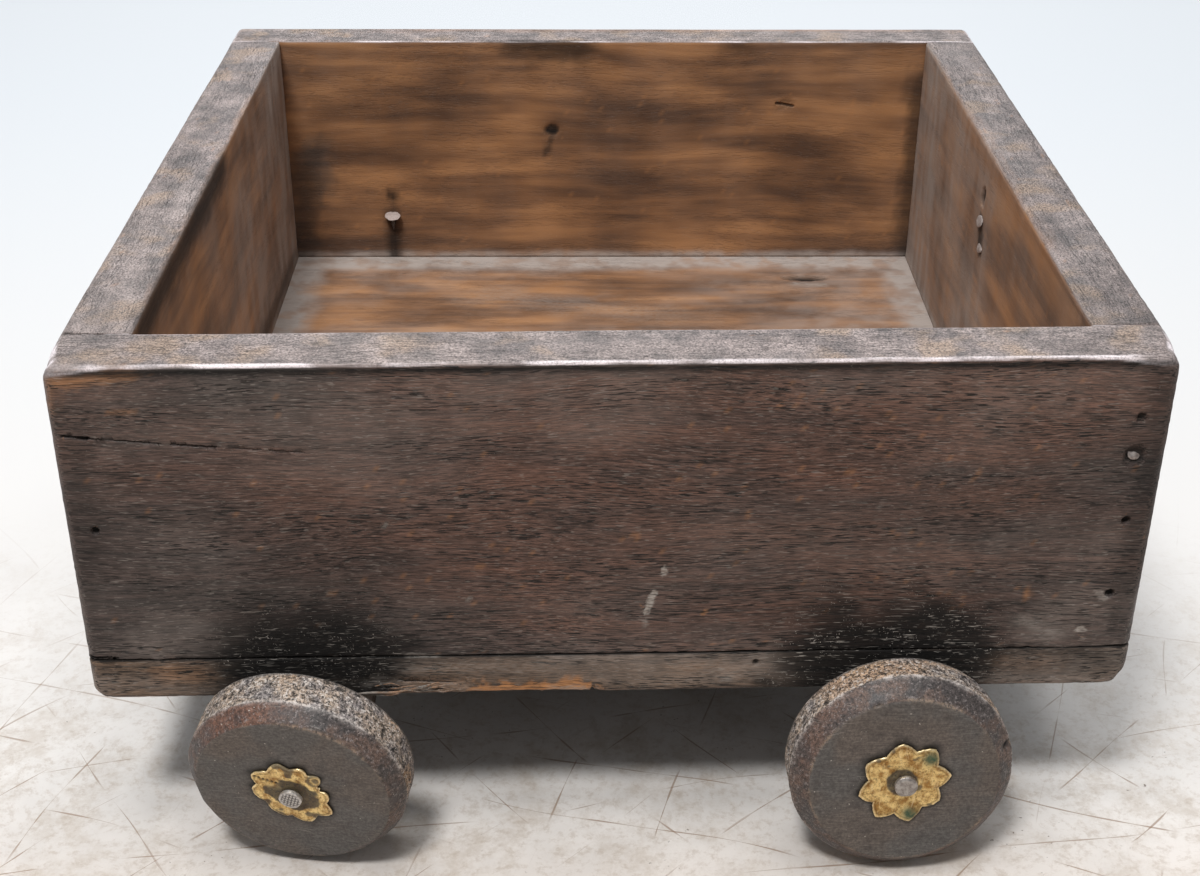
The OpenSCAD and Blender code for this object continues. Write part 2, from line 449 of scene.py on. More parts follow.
NEAR_FACE_CRACK = [
    near_mark(-147.7, 87.9, -145, 87.6, radius=(1, 2, 0.45), depth=0.6, stain=1.0, ragged=0.3),
    near_mark(-143.6, 87.3, -142.0, 87.1, radius=(1.4, 2, 0.8), depth=1.0, stain=1.0, ragged=0.3),
    near_mark(-141.5, 87.1, -123, 85.4, radius=(1, 2, 0.30), depth=0.4, stain=0.8, ragged=0.9),
    near_mark(-119, 85.0, -108, 84.1, radius=(1, 2, 0.42), depth=0.5, stain=0.9, ragged=0.7),
    near_mark(-104, 83.8, -96, 83.2, radius=(1, 2, 0.28), depth=0.3, stain=0.7, ragged=0.8),
    near_mark(-93, 82.9, -85, 82.2, radius=(1, 2, 0.34), depth=0.3, stain=0.8, ragged=0.8),
]
NEAR_FACE_EDGES = [
    near_mark(-146.7, 104, -128.7, 106, radius=(6, 8, 3.2), raw=0.55, ragged=0.8, core=0.0),
    near_mark(-150.7, 96, -149.7, 102, radius=(4, 6, 4), raw=0.22, ragged=0.8, core=0.0),
    near_mark(-37.7, 1.2, -6.7, 1.2, radius=(5, 6, 4.0), raw=1.0, depth=0.35, ragged=0.8, core=0.45),
    near_mark(-16.7, 1.0, -8.7, 1.0, radius=(5, 6, 2.2), scuff=0.5, raw=1.0, ragged=0.8, core=0.35),
    near_mark(
        -70.7, 5, -44.7, 3.5, radius=(4, 5, 3.6), raw=0.25, scuff=0.22, depth=0.8, ragged=0.9, core=0.1,
    ),
    near_mark(-128.7, 9, -120.7, 8, radius=(9, 5, 5), raw=0.28, ragged=0.9, core=0.0),
    near_mark(-56.7, 9.5, -20.7, 10, radius=(9, 5, 4), scuff=0.25, raw=0.12, ragged=0.9, core=0.0),
    near_mark(21.3, 9, 39.3, 7, radius=(9, 5, 5), scuff=0.25, raw=0.15, ragged=0.9, core=0.0),
    near_mark(111.3, 9, 127.3, 8, radius=(9, 5, 5), raw=0.16, ragged=0.9, core=0.0),
    near_mark(-68.7, 2.8, -50.7, 1.6, radius=(1, 3, 0.35), depth=0.9, stain=0.7, scuff=0.6, ragged=0.9),
    near_mark(-62.7, 4.6, -46.7, 3.9, radius=(1, 3, 0.3), depth=0.7, stain=0.7, scuff=0.6, ragged=0.9),
    near_mark(41.6, 10, radius=1.2, depth=1.0, stain=1.0, ragged=0.3),
    near_mark(-6.3, 0.2, -5.9, 1.8, radius=(0.6, 6, 0.9), depth=0.7, stain=0.6, ragged=0.3),
    near_mark(-150.2, 14.9, -143.7, 14.6, radius=(2, 4, 0.7), depth=1.0, stain=1.0, ragged=0.3),
]
NEAR_MARKS = NEAR_FACE_GRIME_AND_SHADE + NEAR_FACE_DUST + NEAR_FACE_SCUFFS
NEAR_MARKS = NEAR_MARKS + NEAR_FACE_HOLES + NEAR_FACE_CRACK + NEAR_FACE_EDGES

FAR_WALL_MARKS = [
    far_wall_mark(-21.3, 71.3, radius=(4.2, 4, 3.2), depth=0.6, stain=1.0, ragged=0.3),
    far_wall_mark(-21.7, 67, -23.7, 62, radius=(1.6, 4, 2.0), stain=0.6, ragged=0.5),
    far_wall_mark(-21.3, 71.3, radius=(11, 4, 7), stain=0.35, ragged=0.5, core=0.0),
    far_wall_mark(-89.4, 42, radius=(4.5, 4, 5), stain=0.9, ragged=0.5, core=0.2),
    far_wall_mark(-89.4, 33, -89.7, 15, radius=(5.5, 4, 6), stain=0.85, ragged=0.5, core=0.1),
    far_wall_mark(75.2, 82.2, radius=(4.5, 4, 3.2), depth=0.4, stain=0.35, ragged=0.5),
    far_wall_mark(71.8, 82.6, 78.3, 81.4, radius=(1, 4, 0.8), depth=0.5, stain=0.8),
    far_wall_mark(-33.7, 108, -10.7, 106, radius=(14, 4, 9), stain=0.8, ragged=0.6, core=0.1),
    far_wall_mark(55.3, 107, radius=(12, 4, 6), stain=0.6, ragged=0.6, core=0.1),
    far_wall_mark(-130.7, 20, -120.7, 60, radius=(12, 6, 14), stain=0.65, dust=0.3, ragged=0.7, core=0.1),
    far_wall_mark(131.3, 18, 130.3, 90, radius=(8, 6, 14), stain=0.7, ragged=0.7, core=0.1),
]
BED_MARKS = [
    bed_mark(85.3, FAR_WALL - 21.5, radius=(11.5, 3.4, 3), depth=1.8, stain=1.0, ragged=0.2),
    bed_mark(81.3, FAR_WALL - 28, 91.3, FAR_WALL - 29, radius=(5, 2.6, 2), scuff=0.55, ragged=0.5),
    bed_mark(-40.7, 95, 19.3, 80, radius=(30, 16, 4), scuff=0.25, ragged=0.9, core=0.0),
    bed_mark(49.3, 40, radius=(45, 24, 4), stain=0.3, ragged=0.9, core=0.0),
    bed_mark(-70.7, -10, radius=(40, 40, 4), stain=0.35, ragged=0.9, core=0.0),
]
RIGHT_WALL_MARKS = [
    right_wall_mark(9, 92.5, 10, 90, radius=(3, 2.8, 2.6), depth=1.4, stain=1.0, ragged=0.3),
    right_wall_mark(9, 82.6, 6, 73, radius=(3, 4.5, 2.6), stain=0.8, ragged=0.4),
    right_wall_mark(-60, 104, 40, 104, radius=(6, 40, 7), raw=0.45, ragged=0.9, core=0.0),
    right_wall_mark(-130, 30, -125, 95, radius=(6, 16, 18), stain=0.9, ragged=0.6, core=0.1),
    right_wall_mark(-40, 40, 90, 60, radius=(6, 40, 22), scuff=0.30, ragged=0.9, core=0.0),
]
LEFT_WALL_MARKS = [
    left_wall_mark(-130, 60, -125, 100, radius=(6, 20, 18), stain=0.8, ragged=0.6, core=0.1),
    left_wall_mark(-125, 105, 0, 105, radius=(3, 18, 10), stain=0.85, ragged=0.6, core=0.1),
    left_wall_mark(40, 20, 120, 18, radius=(6, 30, 9), stain=0.6, ragged=0.7, core=0.0),
]
RIM_MARKS = [
    rim_mark(LEFT_WALL, -110, LEFT_WALL, 60, radius=(2.2, 12, 3), raw=0.3, ragged=1.4, core=0.0),
    rim_mark(RIGHT_WALL, -70, RIGHT_WALL, 110, radius=(2.2, 12, 3), raw=0.3, ragged=1.4, core=0.0),
    rim_mark(LEFT + 6, -60, LEFT + 8, 30, radius=(8, 40, 3), stain=0.08, ragged=0.9, core=0.0),
    rim_mark(-149.8, NEAR_WALL + 0.5, -146, NEAR_WALL + 0.3, radius=(1.5, 0.8, 3), depth=0.9, stain=1.0),
    rim_mark(-60, FAR - 4, 90, FAR - 3, radius=(60, 5, 3), raw=0.3, ragged=1.0, core=0.0),
]


# ----------------------------------------------------- paint over the boards


def redness(points):
    """The near face shows more red wood towards its middle and its top, and is darker with soot at the left.
    """
    height = (points[:, Z] - LIFT) / (RIM - LIFT)
    across = (points[:, X] - 20) / 150
    sooty_left = 0.9 * np.maximum(-across - 0.2, 0)
    dull_right = 0.5 * np.maximum(across - 0.5, 0)
    return 1.1 * (height - 0.5) + 0.25 - sooty_left - dull_right


def wall_paint(axis, sign, seed, wall_dust=0.0, dull_rim=0.0):
    """How dusty and worn a wall is. axis and sign say which of its sides faces the bed."""

    def paint(points, unit):
        height = points[:, Z] - LIFT
        below_rim = RIM - points[:, Z]
        inside = smooth(sign * unit[:, axis], 0.35, 0.75)
        top = smooth(unit[:, Z], 0.35, 0.75)
        outer = (1 - top) * (1 - inside)
        groove = smooth(below_rim, 1.1, 1.7) * (1 - smooth(below_rim, 2.2, 4.6)) * outer
        low_dust = (1 - smooth(height + rough(points, 9, seed + 5), 14.5, 18)) * inside
        corner_dust = 1.2 * smooth(points[:, Y], FAR_WALL - 60, FAR_WALL - 12) * inside * (axis == X)
        clouds = smooth(rough(points, (60, 60, 25), seed), -0.3, 0.5)
        patchy = 0.45 + 0.55 * smooth(rough(points, (26, 26, 40), seed + 4), -0.5, 0.4)
        if axis == X:
            patchy = patchy * (0.3 + 0.7 * smooth(points[:, Y], -80, 70))
        grubby = 0.15 * smooth(np.abs(points[:, X]), 95, 140) * smooth(-points[:, Y], 70, 130)
        ragged_groove = groove * smooth(rough(points, (16, 16, 3), seed + 1), -0.7, 0.1)
        dusty = (wall_dust * patchy + corner_dust) * inside + low_dust + 0.2 * clouds * (1 - inside)
        # The side boards' top arrises, where a painted highlight runs.
        arris = smooth(unit[:, Z], 0.25, 0.5) * (1 - smooth(unit[:, Z], 0.85, 0.97))
        return {
            "inside": inside,
            "top": top,
            "stain": ragged_groove + (dull_rim + grubby) * top,
            "dust": np.clip(dusty, 0, 1),
            "red": smooth(rough(points, (90, 90, 40), seed + 2) + redness(points), -0.35, 0.5),
            "line": arris * (axis == Y),
            "specks": 0.10,
        }

    return paint


def floor_paint(points, unit):
    """Dust gathers on the bed along the walls, and the floor board's outer edge is rubbed."""
    from_wall = from_walls(points).min(0)
    inside = smooth(unit[:, Z], 0.5, 0.9) * (from_wall > -3)
    under = smooth(-unit[:, Z], 0.5, 0.9)
    border = 1.45 * (1 - smooth(from_wall + 3 * rough(points, 14, 41), 5, 20))
    patches = smooth(rough(points, (50, 26, 9), 44), -0.5, 0.6)
    outer_dust = 0.45 * (1 - inside) * smooth(rough(points, (40, 40, 8), 42), -0.4, 0.4)
    in_seam = (points[:, Z] > FLOOR_TOP - 0.8) * (1 - inside)
    return {
        "inside": inside,
        "red": smooth(rough(points, (60, 60, 9), 43), -0.3, 0.6),
        "dust": np.maximum(border, 0.08 + 0.45 * patches) * inside + outer_dust,
        "stain": np.maximum(0.3 * under, in_seam),
        "specks": 0.15 * (1 - under),
    }


def plain_paint(points, unit):
    """The beams are evenly dusty, and nothing else shows on them."""
    return {"dust": 0.5 * smooth(rough(points, (12, 40, 12), 77), -0.3, 0.5), "specks": 0.1}


# ------------------------------------------------------------------ turning


class Axle:
    """A wheel's axis: where it is, which way it points out of the cart, and its CAD outlines."""

    def __init__(self, corner):
        self.corner = corner
        joint = next(j for j in frame["joints"] if j["child"] == corner + "_wheel")
        axis = Vector(joint["axis"]).normalized()
        outward = -axis if corner.startswith("near") else axis
        self.out = np.array(outward)
        self.up = np.array([0.0, 0.0, 1.0]) - self.out * self.out[2]
        self.up /= np.linalg.norm(self.up)
        self.right = np.cross(self.up, self.out)
        self.middle = np.array(joint["pos_m"]) / MM

    def outline(self, node):
        """Heights along the axis at which a CAD node has corners, with the outer radius at each."""
        mesh = frame["nodes"][node].data
        corners = np.array([v.co for v in mesh.vertices]) / MM - self.middle
        along = corners @ self.out
        across = np.linalg.norm(corners - along[:, None] * self.out, axis=1)
        ordered = np.sort(along)
        heights = ordered[np.append(True, np.diff(ordered) > 0.1)]
        return [(h, across[np.abs(along - h) < 0.1].max()) for h in heights]

    def place(self, radius, angle, height):
        """Points at a radius and height about the axis; angle 0 is right, a quarter turn is up."""
        flat = np.cos(angle)[..., None] * self.right + np.sin(angle)[..., None] * self.up
        return self.middle + np.asarray(radius)[..., None] * flat + np.asarray(height)[..., None] * self.out


def stepped(corners, spacing):
    """Points along a bent line, no further apart than spacing, with its corners kept."""
    result = [np.array(corners[0], float)]
    for start, end in zip(corners[:-1], corners[1:]):
        start, end = np.array(start, float), np.array(end, float)
        steps = max(1, int(np.ceil(np.linalg.norm(end - start) / spacing)))
        result += [start + (end - start) * k / steps for k in range(1, steps + 1)]
    return np.array(result)


def softened(corners, radius, steps=4):
    """The same bent line with each inner corner cut to a small arc."""
    corners = [np.array(c, float) for c in corners]
    result = [corners[0]]
    for before, corner, after in zip(corners[:-2], corners[1:-1], corners[2:]):
        back = (before - corner) / np.linalg.norm(before - corner)
        ahead = (after - corner) / np.linalg.norm(after - corner)
        start, end = corner + back * radius, corner + ahead * radius
        for share in np.linspace(0, 1, steps + 1):
            result.append((1 - share) ** 2 * start + 2 * share * (1 - share) * corner + share ** 2 * end)
    return result + [corners[-1]]


def ring_quads(rings, around, closed):
    """Quads between rings of points; closed joins the last ring to the first."""
    last = rings if closed else rings - 1
    ring, spot = np.meshgrid(np.arange(last), np.arange(around), indexing="ij")
    following, beside = (ring + 1) % rings, (spot + 1) % around
    here, there = ring * around, following * around
    return np.stack([here + spot, here + beside, there + beside, there + spot], -1).reshape(-1, 4)


def normals_of(profile, closed):
    """Outward normals of a turned outline that runs up the axis on its outer side."""
    if closed:
        ahead, behind = np.roll(profile, -1, 0), np.roll(profile, 1, 0)
    else:
        ahead = np.vstack([profile[1:], profile[-1:]])
        behind = np.vstack([profile[:1], profile[:-1]])
    tangent = ahead - behind
    normal = np.stack([tangent[:, 1], -tangent[:, 0]], -1)
    return normal / np.maximum(np.linalg.norm(normal, axis=1), 1e-9)[:, None]


# ------------------------------------------------------------------- wheels

WHEEL_AROUND = 264
BORE = 2.1
# Where a wheel's bevel is rusty brown, as an angle and an amount.
RUSTY_SIDE = {
    "near_left": (2.0, 0.7),
    "near_right": (2.7, 0.05),
    "far_left": (0.6, 0.6),
    "far_right": (4.4, 0.7),
}
BARE_TREAD = {"near_left": -0.12, "near_right": 0.25, "far_left": 0.0, "far_right": 0.1}
SEED = {"near_left": 11, "near_right": 23, "far_left": 37, "far_right": 53}
NICK_ANGLE = 0.30


def around_circle(angle, reach):
    """Points round a circle, for noise that closes on itself."""
    return np.stack([np.cos(angle) * reach, np.sin(angle) * reach, 0 * angle], -1)


class TurnedWheel:
    """A wheel before it is worn: where each point is, and which side of the wheel it is on."""

    def __init__(self, axle):
        self.corner = axle.corner
        outline = axle.outline(self.corner + "_wheel")
        (back, back_radius), (self.back_rim, self.radius), (self.front_rim, _) = outline[:3]
        face, face_radius = outline[-1]
        corners = [
            (BORE, back),
            (back_radius, back),
            (self.radius, self.back_rim),
            (self.radius, self.front_rim),
            (face_radius, face),
            (BORE, face),
        ]
        in_bore = stepped([(BORE, face), (BORE, back)], 3.0)[1:-1]
        profile = np.vstack([stepped(softened(corners, 0.8), 0.75), in_bore])
        normal = normals_of(profile, True)
        self.rings = len(profile)
        self.r, self.h = np.repeat(profile, WHEEL_AROUND, 0).T
        self.out_r, self.out_h = np.repeat(normal, WHEEL_AROUND, 0).T
        self.a = np.tile(np.arange(WHEEL_AROUND) * 2 * math.pi / WHEEL_AROUND, self.rings)
        r, a, h = self.r, self.a, self.h
        self.local = np.stack([r * np.cos(a), r * np.sin(a), h], -1)
        past_rim = smooth(h, self.front_rim - 0.2, self.front_rim + 0.4)
        self.on_tread = smooth(self.out_r, 0.6, 0.9) * (r > 5) * (1 - past_rim)
        self.on_bevel = past_rim * (1 - smooth(self.out_h, 0.88, 0.99)) * (r > 5)
        self.on_back = (h < self.back_rim) & (r > 5)
        self.outer_edge = np.exp(-((h - self.front_rim) / 0.6) ** 2) * (r > self.radius - 3)
        self.inner_edge = np.exp(-(np.hypot(r - face_radius, h - face) / 0.6) ** 2)

    def nick(self):
        """The small notch in the near right wheel's rim, and nothing on the others."""
        if self.corner != "near_right":
            return 0 * self.r
        along, across = (self.a - NICK_ANGLE) * self.radius, (self.h - self.front_rim - 1.5) * 0.7
        return np.exp(-(np.hypot(along, across) / 1.1) ** 2) * (self.r > self.radius - 4)

    def wear(self, seed):
        """Depth of the wear. Sawing by hand leaves flats and steps, and only takes wood away."""
        local, h = self.local, self.h
        flats = 0.30 * (1 + noise(around_circle(self.a, 5), 1.0, seed))
        coarse = 0.32 * (1 + rough(local, (2.8, 2.8, 1.6), seed + 1, 3))
        pits = 0.55 * smooth(noise(local, 1.3, seed + 2), 0.25, 0.8)
        to_edge = smooth(h, self.front_rim + 0.5, self.front_rim - 3)
        depth = self.on_tread * (flats * to_edge * 0.8 + coarse + pits)
        dents = 0.15 * smooth(noise(local, 1.1, seed + 5), 0.3, 0.9)
        depth = depth + self.on_bevel * (0.12 * (1 + rough(local, 4, seed + 3)) + dents)
        depth = depth + (self.out_h > 0.7) * 0.07 * (1 + rough(local, 14, seed + 4))
        depth = depth + self.on_back * 0.15 * (1 + rough(local, 3, seed + 6))
        chips = smooth(rough(local, 3.2, seed + 7), 0.25, 0.7) * (self.outer_edge + 0.5 * self.inner_edge)
        depth = depth + 0.7 * chips + 1.4 * self.nick()
        return np.where(self.r > BORE + 1.5, depth, 0)

    def grime(self, flower_tip, seed):
        """Soot behind the flower, and a painted shadow which creeps out a little way round it, furthest on
        the upper side.
        """
        from_flower = self.r - petal_outline(self.a, self.corner, flower_tip)
        # The painted shadow reaches furthest on the upper side of the flower.
        reach = 0.9 + 0.8 * smooth(np.sin(self.a - 0.4), -0.2, 0.8)
        shadow_halo = np.where(from_flower < 0, 1, np.exp(-(from_flower / reach) ** 2)) * (self.out_h > 0.7)
        return np.clip(shadow_halo * (1.0 + 0.4 * noise(self.local, 2, seed + 10)), 0, 1)

    def rust(self, seed):
        side, amount = RUSTY_SIDE[self.corner]
        around = np.abs((self.a - side + math.pi) % (2 * math.pi) - math.pi)
        rusty = amount * (1 - smooth(around + 0.4 * rough(self.local, 7, seed + 13), 0.1, 0.75))
        patches = 0.14 * smooth(rough(self.local, 12, seed + 12), 0.1, 0.6)
        return self.on_bevel * np.clip(rusty + patches, 0, 1)


def build_wheel(axle, material):
    """A wheel sawn and rasped from a plank: rough tread, worn arris, bevel and smooth face."""
    corner = axle.corner
    seed = SEED[corner]
    wheel = TurnedWheel(axle)
    local = wheel.local
    flower_tip = axle.outline(corner + "_flower")[-1][1] - INSET
    depth = wheel.wear(seed)
    points = axle.place(wheel.r - wheel.out_r * depth, wheel.a, wheel.h - wheel.out_h * depth)
    bare = smooth(rough(local, 16, seed + 11) + BARE_TREAD[corner], 0.05, 0.5)
    attributes = {
        "tread": wheel.on_tread,
        "bevel": wheel.on_bevel,
        "edge": np.clip(wheel.outer_edge * smooth(rough(local, 5, seed + 8), -0.35, 0.35), 0, 1),
        "line": wheel.inner_edge * smooth(rough(local, 5, seed + 9), -0.2, 0.5),
        # Soot and the painted shadow round the flower, and the dark nick.
        "stain": np.maximum(wheel.grime(flower_tip, seed), wheel.nick()),
        "raw": wheel.on_tread * bare,
        "red": wheel.rust(seed),
    }
    quads = ring_quads(wheel.rings, WHEEL_AROUND, True)
    return make_piece(
        corner + "_turned_wheel", quads, points, attributes, material,
        corner + "_wheel", corner + "_wheel",
    )


# ------------------------------------------------------------ brass flowers

FLOWER_AROUND = 360
FLOWER_RINGS = 40
SHEET_THICK = 0.7
PETAL_LIFT = 0.22

# Each petal's direction in radians, anticlockwise from the right as seen from outside,
# and its length as a share of the flower's radius.
PETALS = {
    "near_left": (
        (0.05, 0.91), (0.75, 1.00), (1.23, 0.97), (1.83, 1.06), (2.58, 1.10), (3.13, 0.98), (4.15, 0.87),
        (5.03, 1.02), (5.71, 1.09),
    ),
    "near_right": (
        (0.16, 1.02), (0.93, 1.04), (1.68, 1.01), (2.64, 0.99), (3.46, 1.04), (4.13, 1.05), (4.86, 1.03),
        (5.72, 0.94),
    ),
    "far_left": (
        (0.30, 1.02), (1.12, 0.98), (1.86, 1.01), (2.60, 1.04), (3.45, 0.97), (4.22, 1.03), (5.01, 0.99),
        (5.84, 1.00),
    ),
    "far_right": (
        (0.10, 1.00), (0.86, 1.04), (1.52, 0.97), (2.16, 1.02), (2.88, 1.00), (3.55, 1.05), (4.30, 0.96),
        (4.95, 1.03), (5.62, 0.98),
    ),
}
POINTED = ("near_right", "far_left")
TORN_ANGLE = 0.36
FOLDED_ANGLE = 0.75
GREEN_ANGLES = {"near_right": (0.86, -1.36), "near_left": (), "far_left": (2.0,), "far_right": (-0.6, 2.7)}


def petal_turn(angle, corner):
    """How far round the flower an angle is, counted in petals: whole numbers are their tips."""
    petals = np.array([direction for direction, _ in PETALS[corner]])
    circle = np.append(petals, petals[0] + 2 * math.pi)
    return np.interp((angle - petals[0]) % (2 * math.pi) + petals[0], circle, np.arange(len(circle)))


def petal_outline(angle, corner, tip):
    """Outer radius of the sheet at each angle: round lobes, or petals cut to a point."""
    seed = SEED[corner]
    circle = around_circle(angle, 1)
    turn = petal_turn(angle, corner)
    lengths = [length for _, length in PETALS[corner]]
    length = np.interp(turn, np.arange(len(lengths) + 1), lengths + lengths[:1])
    from_tip = np.abs(turn - np.round(turn)) * 2
    if corner in POINTED:
        shape = 0.79 + 0.21 * (1 - from_tip ** 1.25)
    else:
        shape = 0.86 + 0.14 * (0.5 + 0.5 * np.cos(math.pi * from_tip)) ** 0.7
    radius = tip * length * shape - 0.14 * (1 + noise(circle * 3.1, 1.0, seed + 21))
    radius = radius - 0.10 * (1 + noise(circle * 24, 1.0, seed + 22))
    if corner == "near_left":
        ragged = 1 + 0.9 * noise(circle * 16, 1.0, seed + 27)
        radius = radius - 2.0 * np.exp(-((angle - TORN_ANGLE) / 0.15) ** 2) * ragged
    return radius


def flower_top(r, a, corner):
    """Height of the sheet's upper side above the wheel: dished, dented and lifted at petals."""
    seed = SEED[corner]
    local = np.stack([r * np.cos(a), r * np.sin(a), 0 * a], -1)
    angle = np.arctan2(local[:, 1], local[:, 0])
    radius = np.hypot(local[:, 0], local[:, 1])
    lifted = PETAL_LIFT * smooth(radius, 4, 12) * (0.5 + 0.5 * noise(local, 7, seed + 23))
    height = SHEET_THICK + lifted - 0.22 * smooth(rough(local, 2.4, seed + 24), 0.0, 0.7)
    turn = petal_turn(angle, corner)
    crease = np.abs(np.abs(turn - np.round(turn)) * 2 - 1)
    height = height - 0.10 * np.exp(-(crease / 0.22) ** 2) * smooth(radius, 6, 9)
    if corner == "near_left":
        height = height - 0.35 * np.exp(-((angle - FOLDED_ANGLE) / 0.22) ** 2) * smooth(radius, 6, 9)
    return height - 0.18 * np.exp(-((radius - 4.4) / 1.2) ** 2)


def punched(local, start, end, count, size):
    """How deep a row of punched dots goes, from one place on the sheet to another."""
    depth = np.zeros(len(local))
    for share in np.linspace(0, 1, count):
        spot = np.array(start) * (1 - share) + np.array(end) * share
        depth = np.maximum(depth, np.exp(-(np.linalg.norm(local[:, :2] - spot, axis=1) / size) ** 4))
    return depth


def flower_tarnish(local, r, a, corner):
    """The flower's dark middle and blots; one petal of the near left flower is kept clean."""
    seed = SEED[corner]
    x, y = local[:, 0], local[:, 1]
    if corner in POINTED:
        from_middle = np.hypot(x + 0.7, y + 0.1) + 0.9 * rough(local, 3.0, seed + 30)
        middle = 1 - smooth(from_middle, 4.5, 5.1)
    else:
        from_middle = np.hypot(0.8 * (x - 0.8), y + 0.3) + 3.0 * rough(local, 4.0, seed + 30)
        middle = 1 - smooth(from_middle, 5.5, 6.1)
    blots = smooth(rough(local, 4.0, seed + 31), 0.28, 0.42)
    if corner == "near_left":
        clean = 1 - np.exp(-(((a - 2.52) / 0.3) ** 2 + ((r - 9.5) / 4.5) ** 2) ** 2)
        middle, blots = middle * clean, blots * clean
        folded = np.exp(-((a - FOLDED_ANGLE) / 0.24) ** 2) * smooth(r, 6.5, 8.5)
        ring_middle = np.array([10.0 * math.cos(0.72), 10.0 * math.sin(0.72)])
        from_ring = np.linalg.norm(local[:, :2] - ring_middle, axis=1) - 1.3
        ring = np.exp(-(from_ring / 0.35) ** 2)
        blots = np.maximum(blots, smooth(folded, 0.3, 0.6) * (1 - 0.8 * ring))
    return np.maximum(middle, 0.85 * blots)


def flower_green(local, tip, corner):
    """Verdigris near the tips of a few petals."""
    green = np.zeros(len(local))
    for at in GREEN_ANGLES[corner]:
        spot = np.array([0.8 * tip * math.cos(at), 0.8 * tip * math.sin(at)])
        green = np.maximum(green, np.exp(-(np.linalg.norm(local[:, :2] - spot, axis=1) / 2.2) ** 2))
    return np.clip(green * 1.3, 0, 1)


def build_flower(axle, material):
    """A flower snipped from thin sheet brass, dented where it was nailed on."""
    corner = axle.corner
    outline = axle.outline(corner + "_flower")
    seat = outline[0][0]
    tip = outline[-1][1] - INSET
    angle = np.arange(FLOWER_AROUND) * 2 * math.pi / FLOWER_AROUND
    outer = petal_outline(angle, corner, tip)
    top_shares = np.linspace(0, 1, FLOWER_RINGS)
    under_shares = np.array([1.0, 0.9, 0.6, 0.0])
    top_r = np.concatenate([BORE + (outer - BORE) * s for s in top_shares])
    top_a = np.tile(angle, FLOWER_RINGS)
    under_r = np.concatenate([BORE + (outer - 0.05 - BORE) * s for s in under_shares])
    under_a = np.tile(angle, len(under_shares))
    share = np.repeat(top_shares, FLOWER_AROUND)
    top_height = flower_top(top_r, top_a, corner) - 0.3 * smooth(share, 0.93, 1.0) * SHEET_THICK
    holes = np.zeros(len(top_r))
    if corner == "near_left":
        flat = np.stack([top_r * np.cos(top_a), top_r * np.sin(top_a)], -1)
        holes = punched(flat, (-10.2, 6.4), (-4.2, 4.3), 6, 0.46)
        top_height = top_height - 0.45 * holes
    under_height = np.clip(flower_top(under_r, under_a, corner) - SHEET_THICK, 0.02, None)
    r = np.concatenate([top_r, under_r])
    a = np.concatenate([top_a, under_a])
    height = np.concatenate([top_height, under_height])
    local = np.stack([r * np.cos(a), r * np.sin(a), height], -1)
    quads = ring_quads(FLOWER_RINGS + len(under_shares), FLOWER_AROUND, True)[:, ::-1]
    none_under = 0 * under_a
    attributes = {
        "stain": np.clip(flower_tarnish(local, r, a, corner) + np.concatenate([holes, none_under]), 0, 1),
        "dust": flower_green(local, tip, corner),
        # The sheet's outer edge, which carries a painted highlight.
        "edge": np.concatenate([smooth(share, 0.94, 0.98), none_under]),
        "line": np.concatenate([np.exp(-((share - 0.90) / 0.025) ** 2), none_under]),
    }
    return make_piece(
        corner + "_brass_flower", quads, axle.place(r, a, seat + height), attributes, material,
        corner + "_wheel", corner + "_flower",
    )


# -------------------------------------------------------------------- nails


def turned_solid(place, profile, around, shape):
    """Points and faces of a solid turned from a profile that starts and ends on its axis."""
    rings = profile[1:-1]
    r, h = np.repeat(rings, around, 0).T
    a = np.tile(np.arange(around) * 2 * math.pi / around, len(rings))
    r, h = shape(r, a, h)
    r = np.concatenate([r, profile[[0, -1], 0]])
    h = np.concatenate([h, profile[[0, -1], 1]])
    a = np.concatenate([a, [0, 0]])
    faces = [list(q) for q in ring_quads(len(rings), around, False)]
    last = len(rings) * around
    for k in range(around):
        following = (k + 1) % around
        faces.append([last, following, k])
        faces.append([last + 1, last - around + k, last - around + following])
    local = np.stack([r * np.cos(a), r * np.sin(a), h], -1)
    return place(r, a, h), faces, local


GROOVED = ("near_left", "far_right")
GROOVE_PITCH = 0.95


def grooves(depth, r, a, on_top):
    """Depth of the crossed grooves stamped into a nail's head."""
    x, y = r * np.cos(a + 0.3), r * np.sin(a + 0.3)
    along = np.abs(np.mod(x, GROOVE_PITCH) - GROOVE_PITCH / 2)
    across = np.abs(np.mod(y, GROOVE_PITCH) - GROOVE_PITCH / 2)
    return depth * (1 - smooth(np.minimum(along, across), 0.07, 0.27)) * on_top


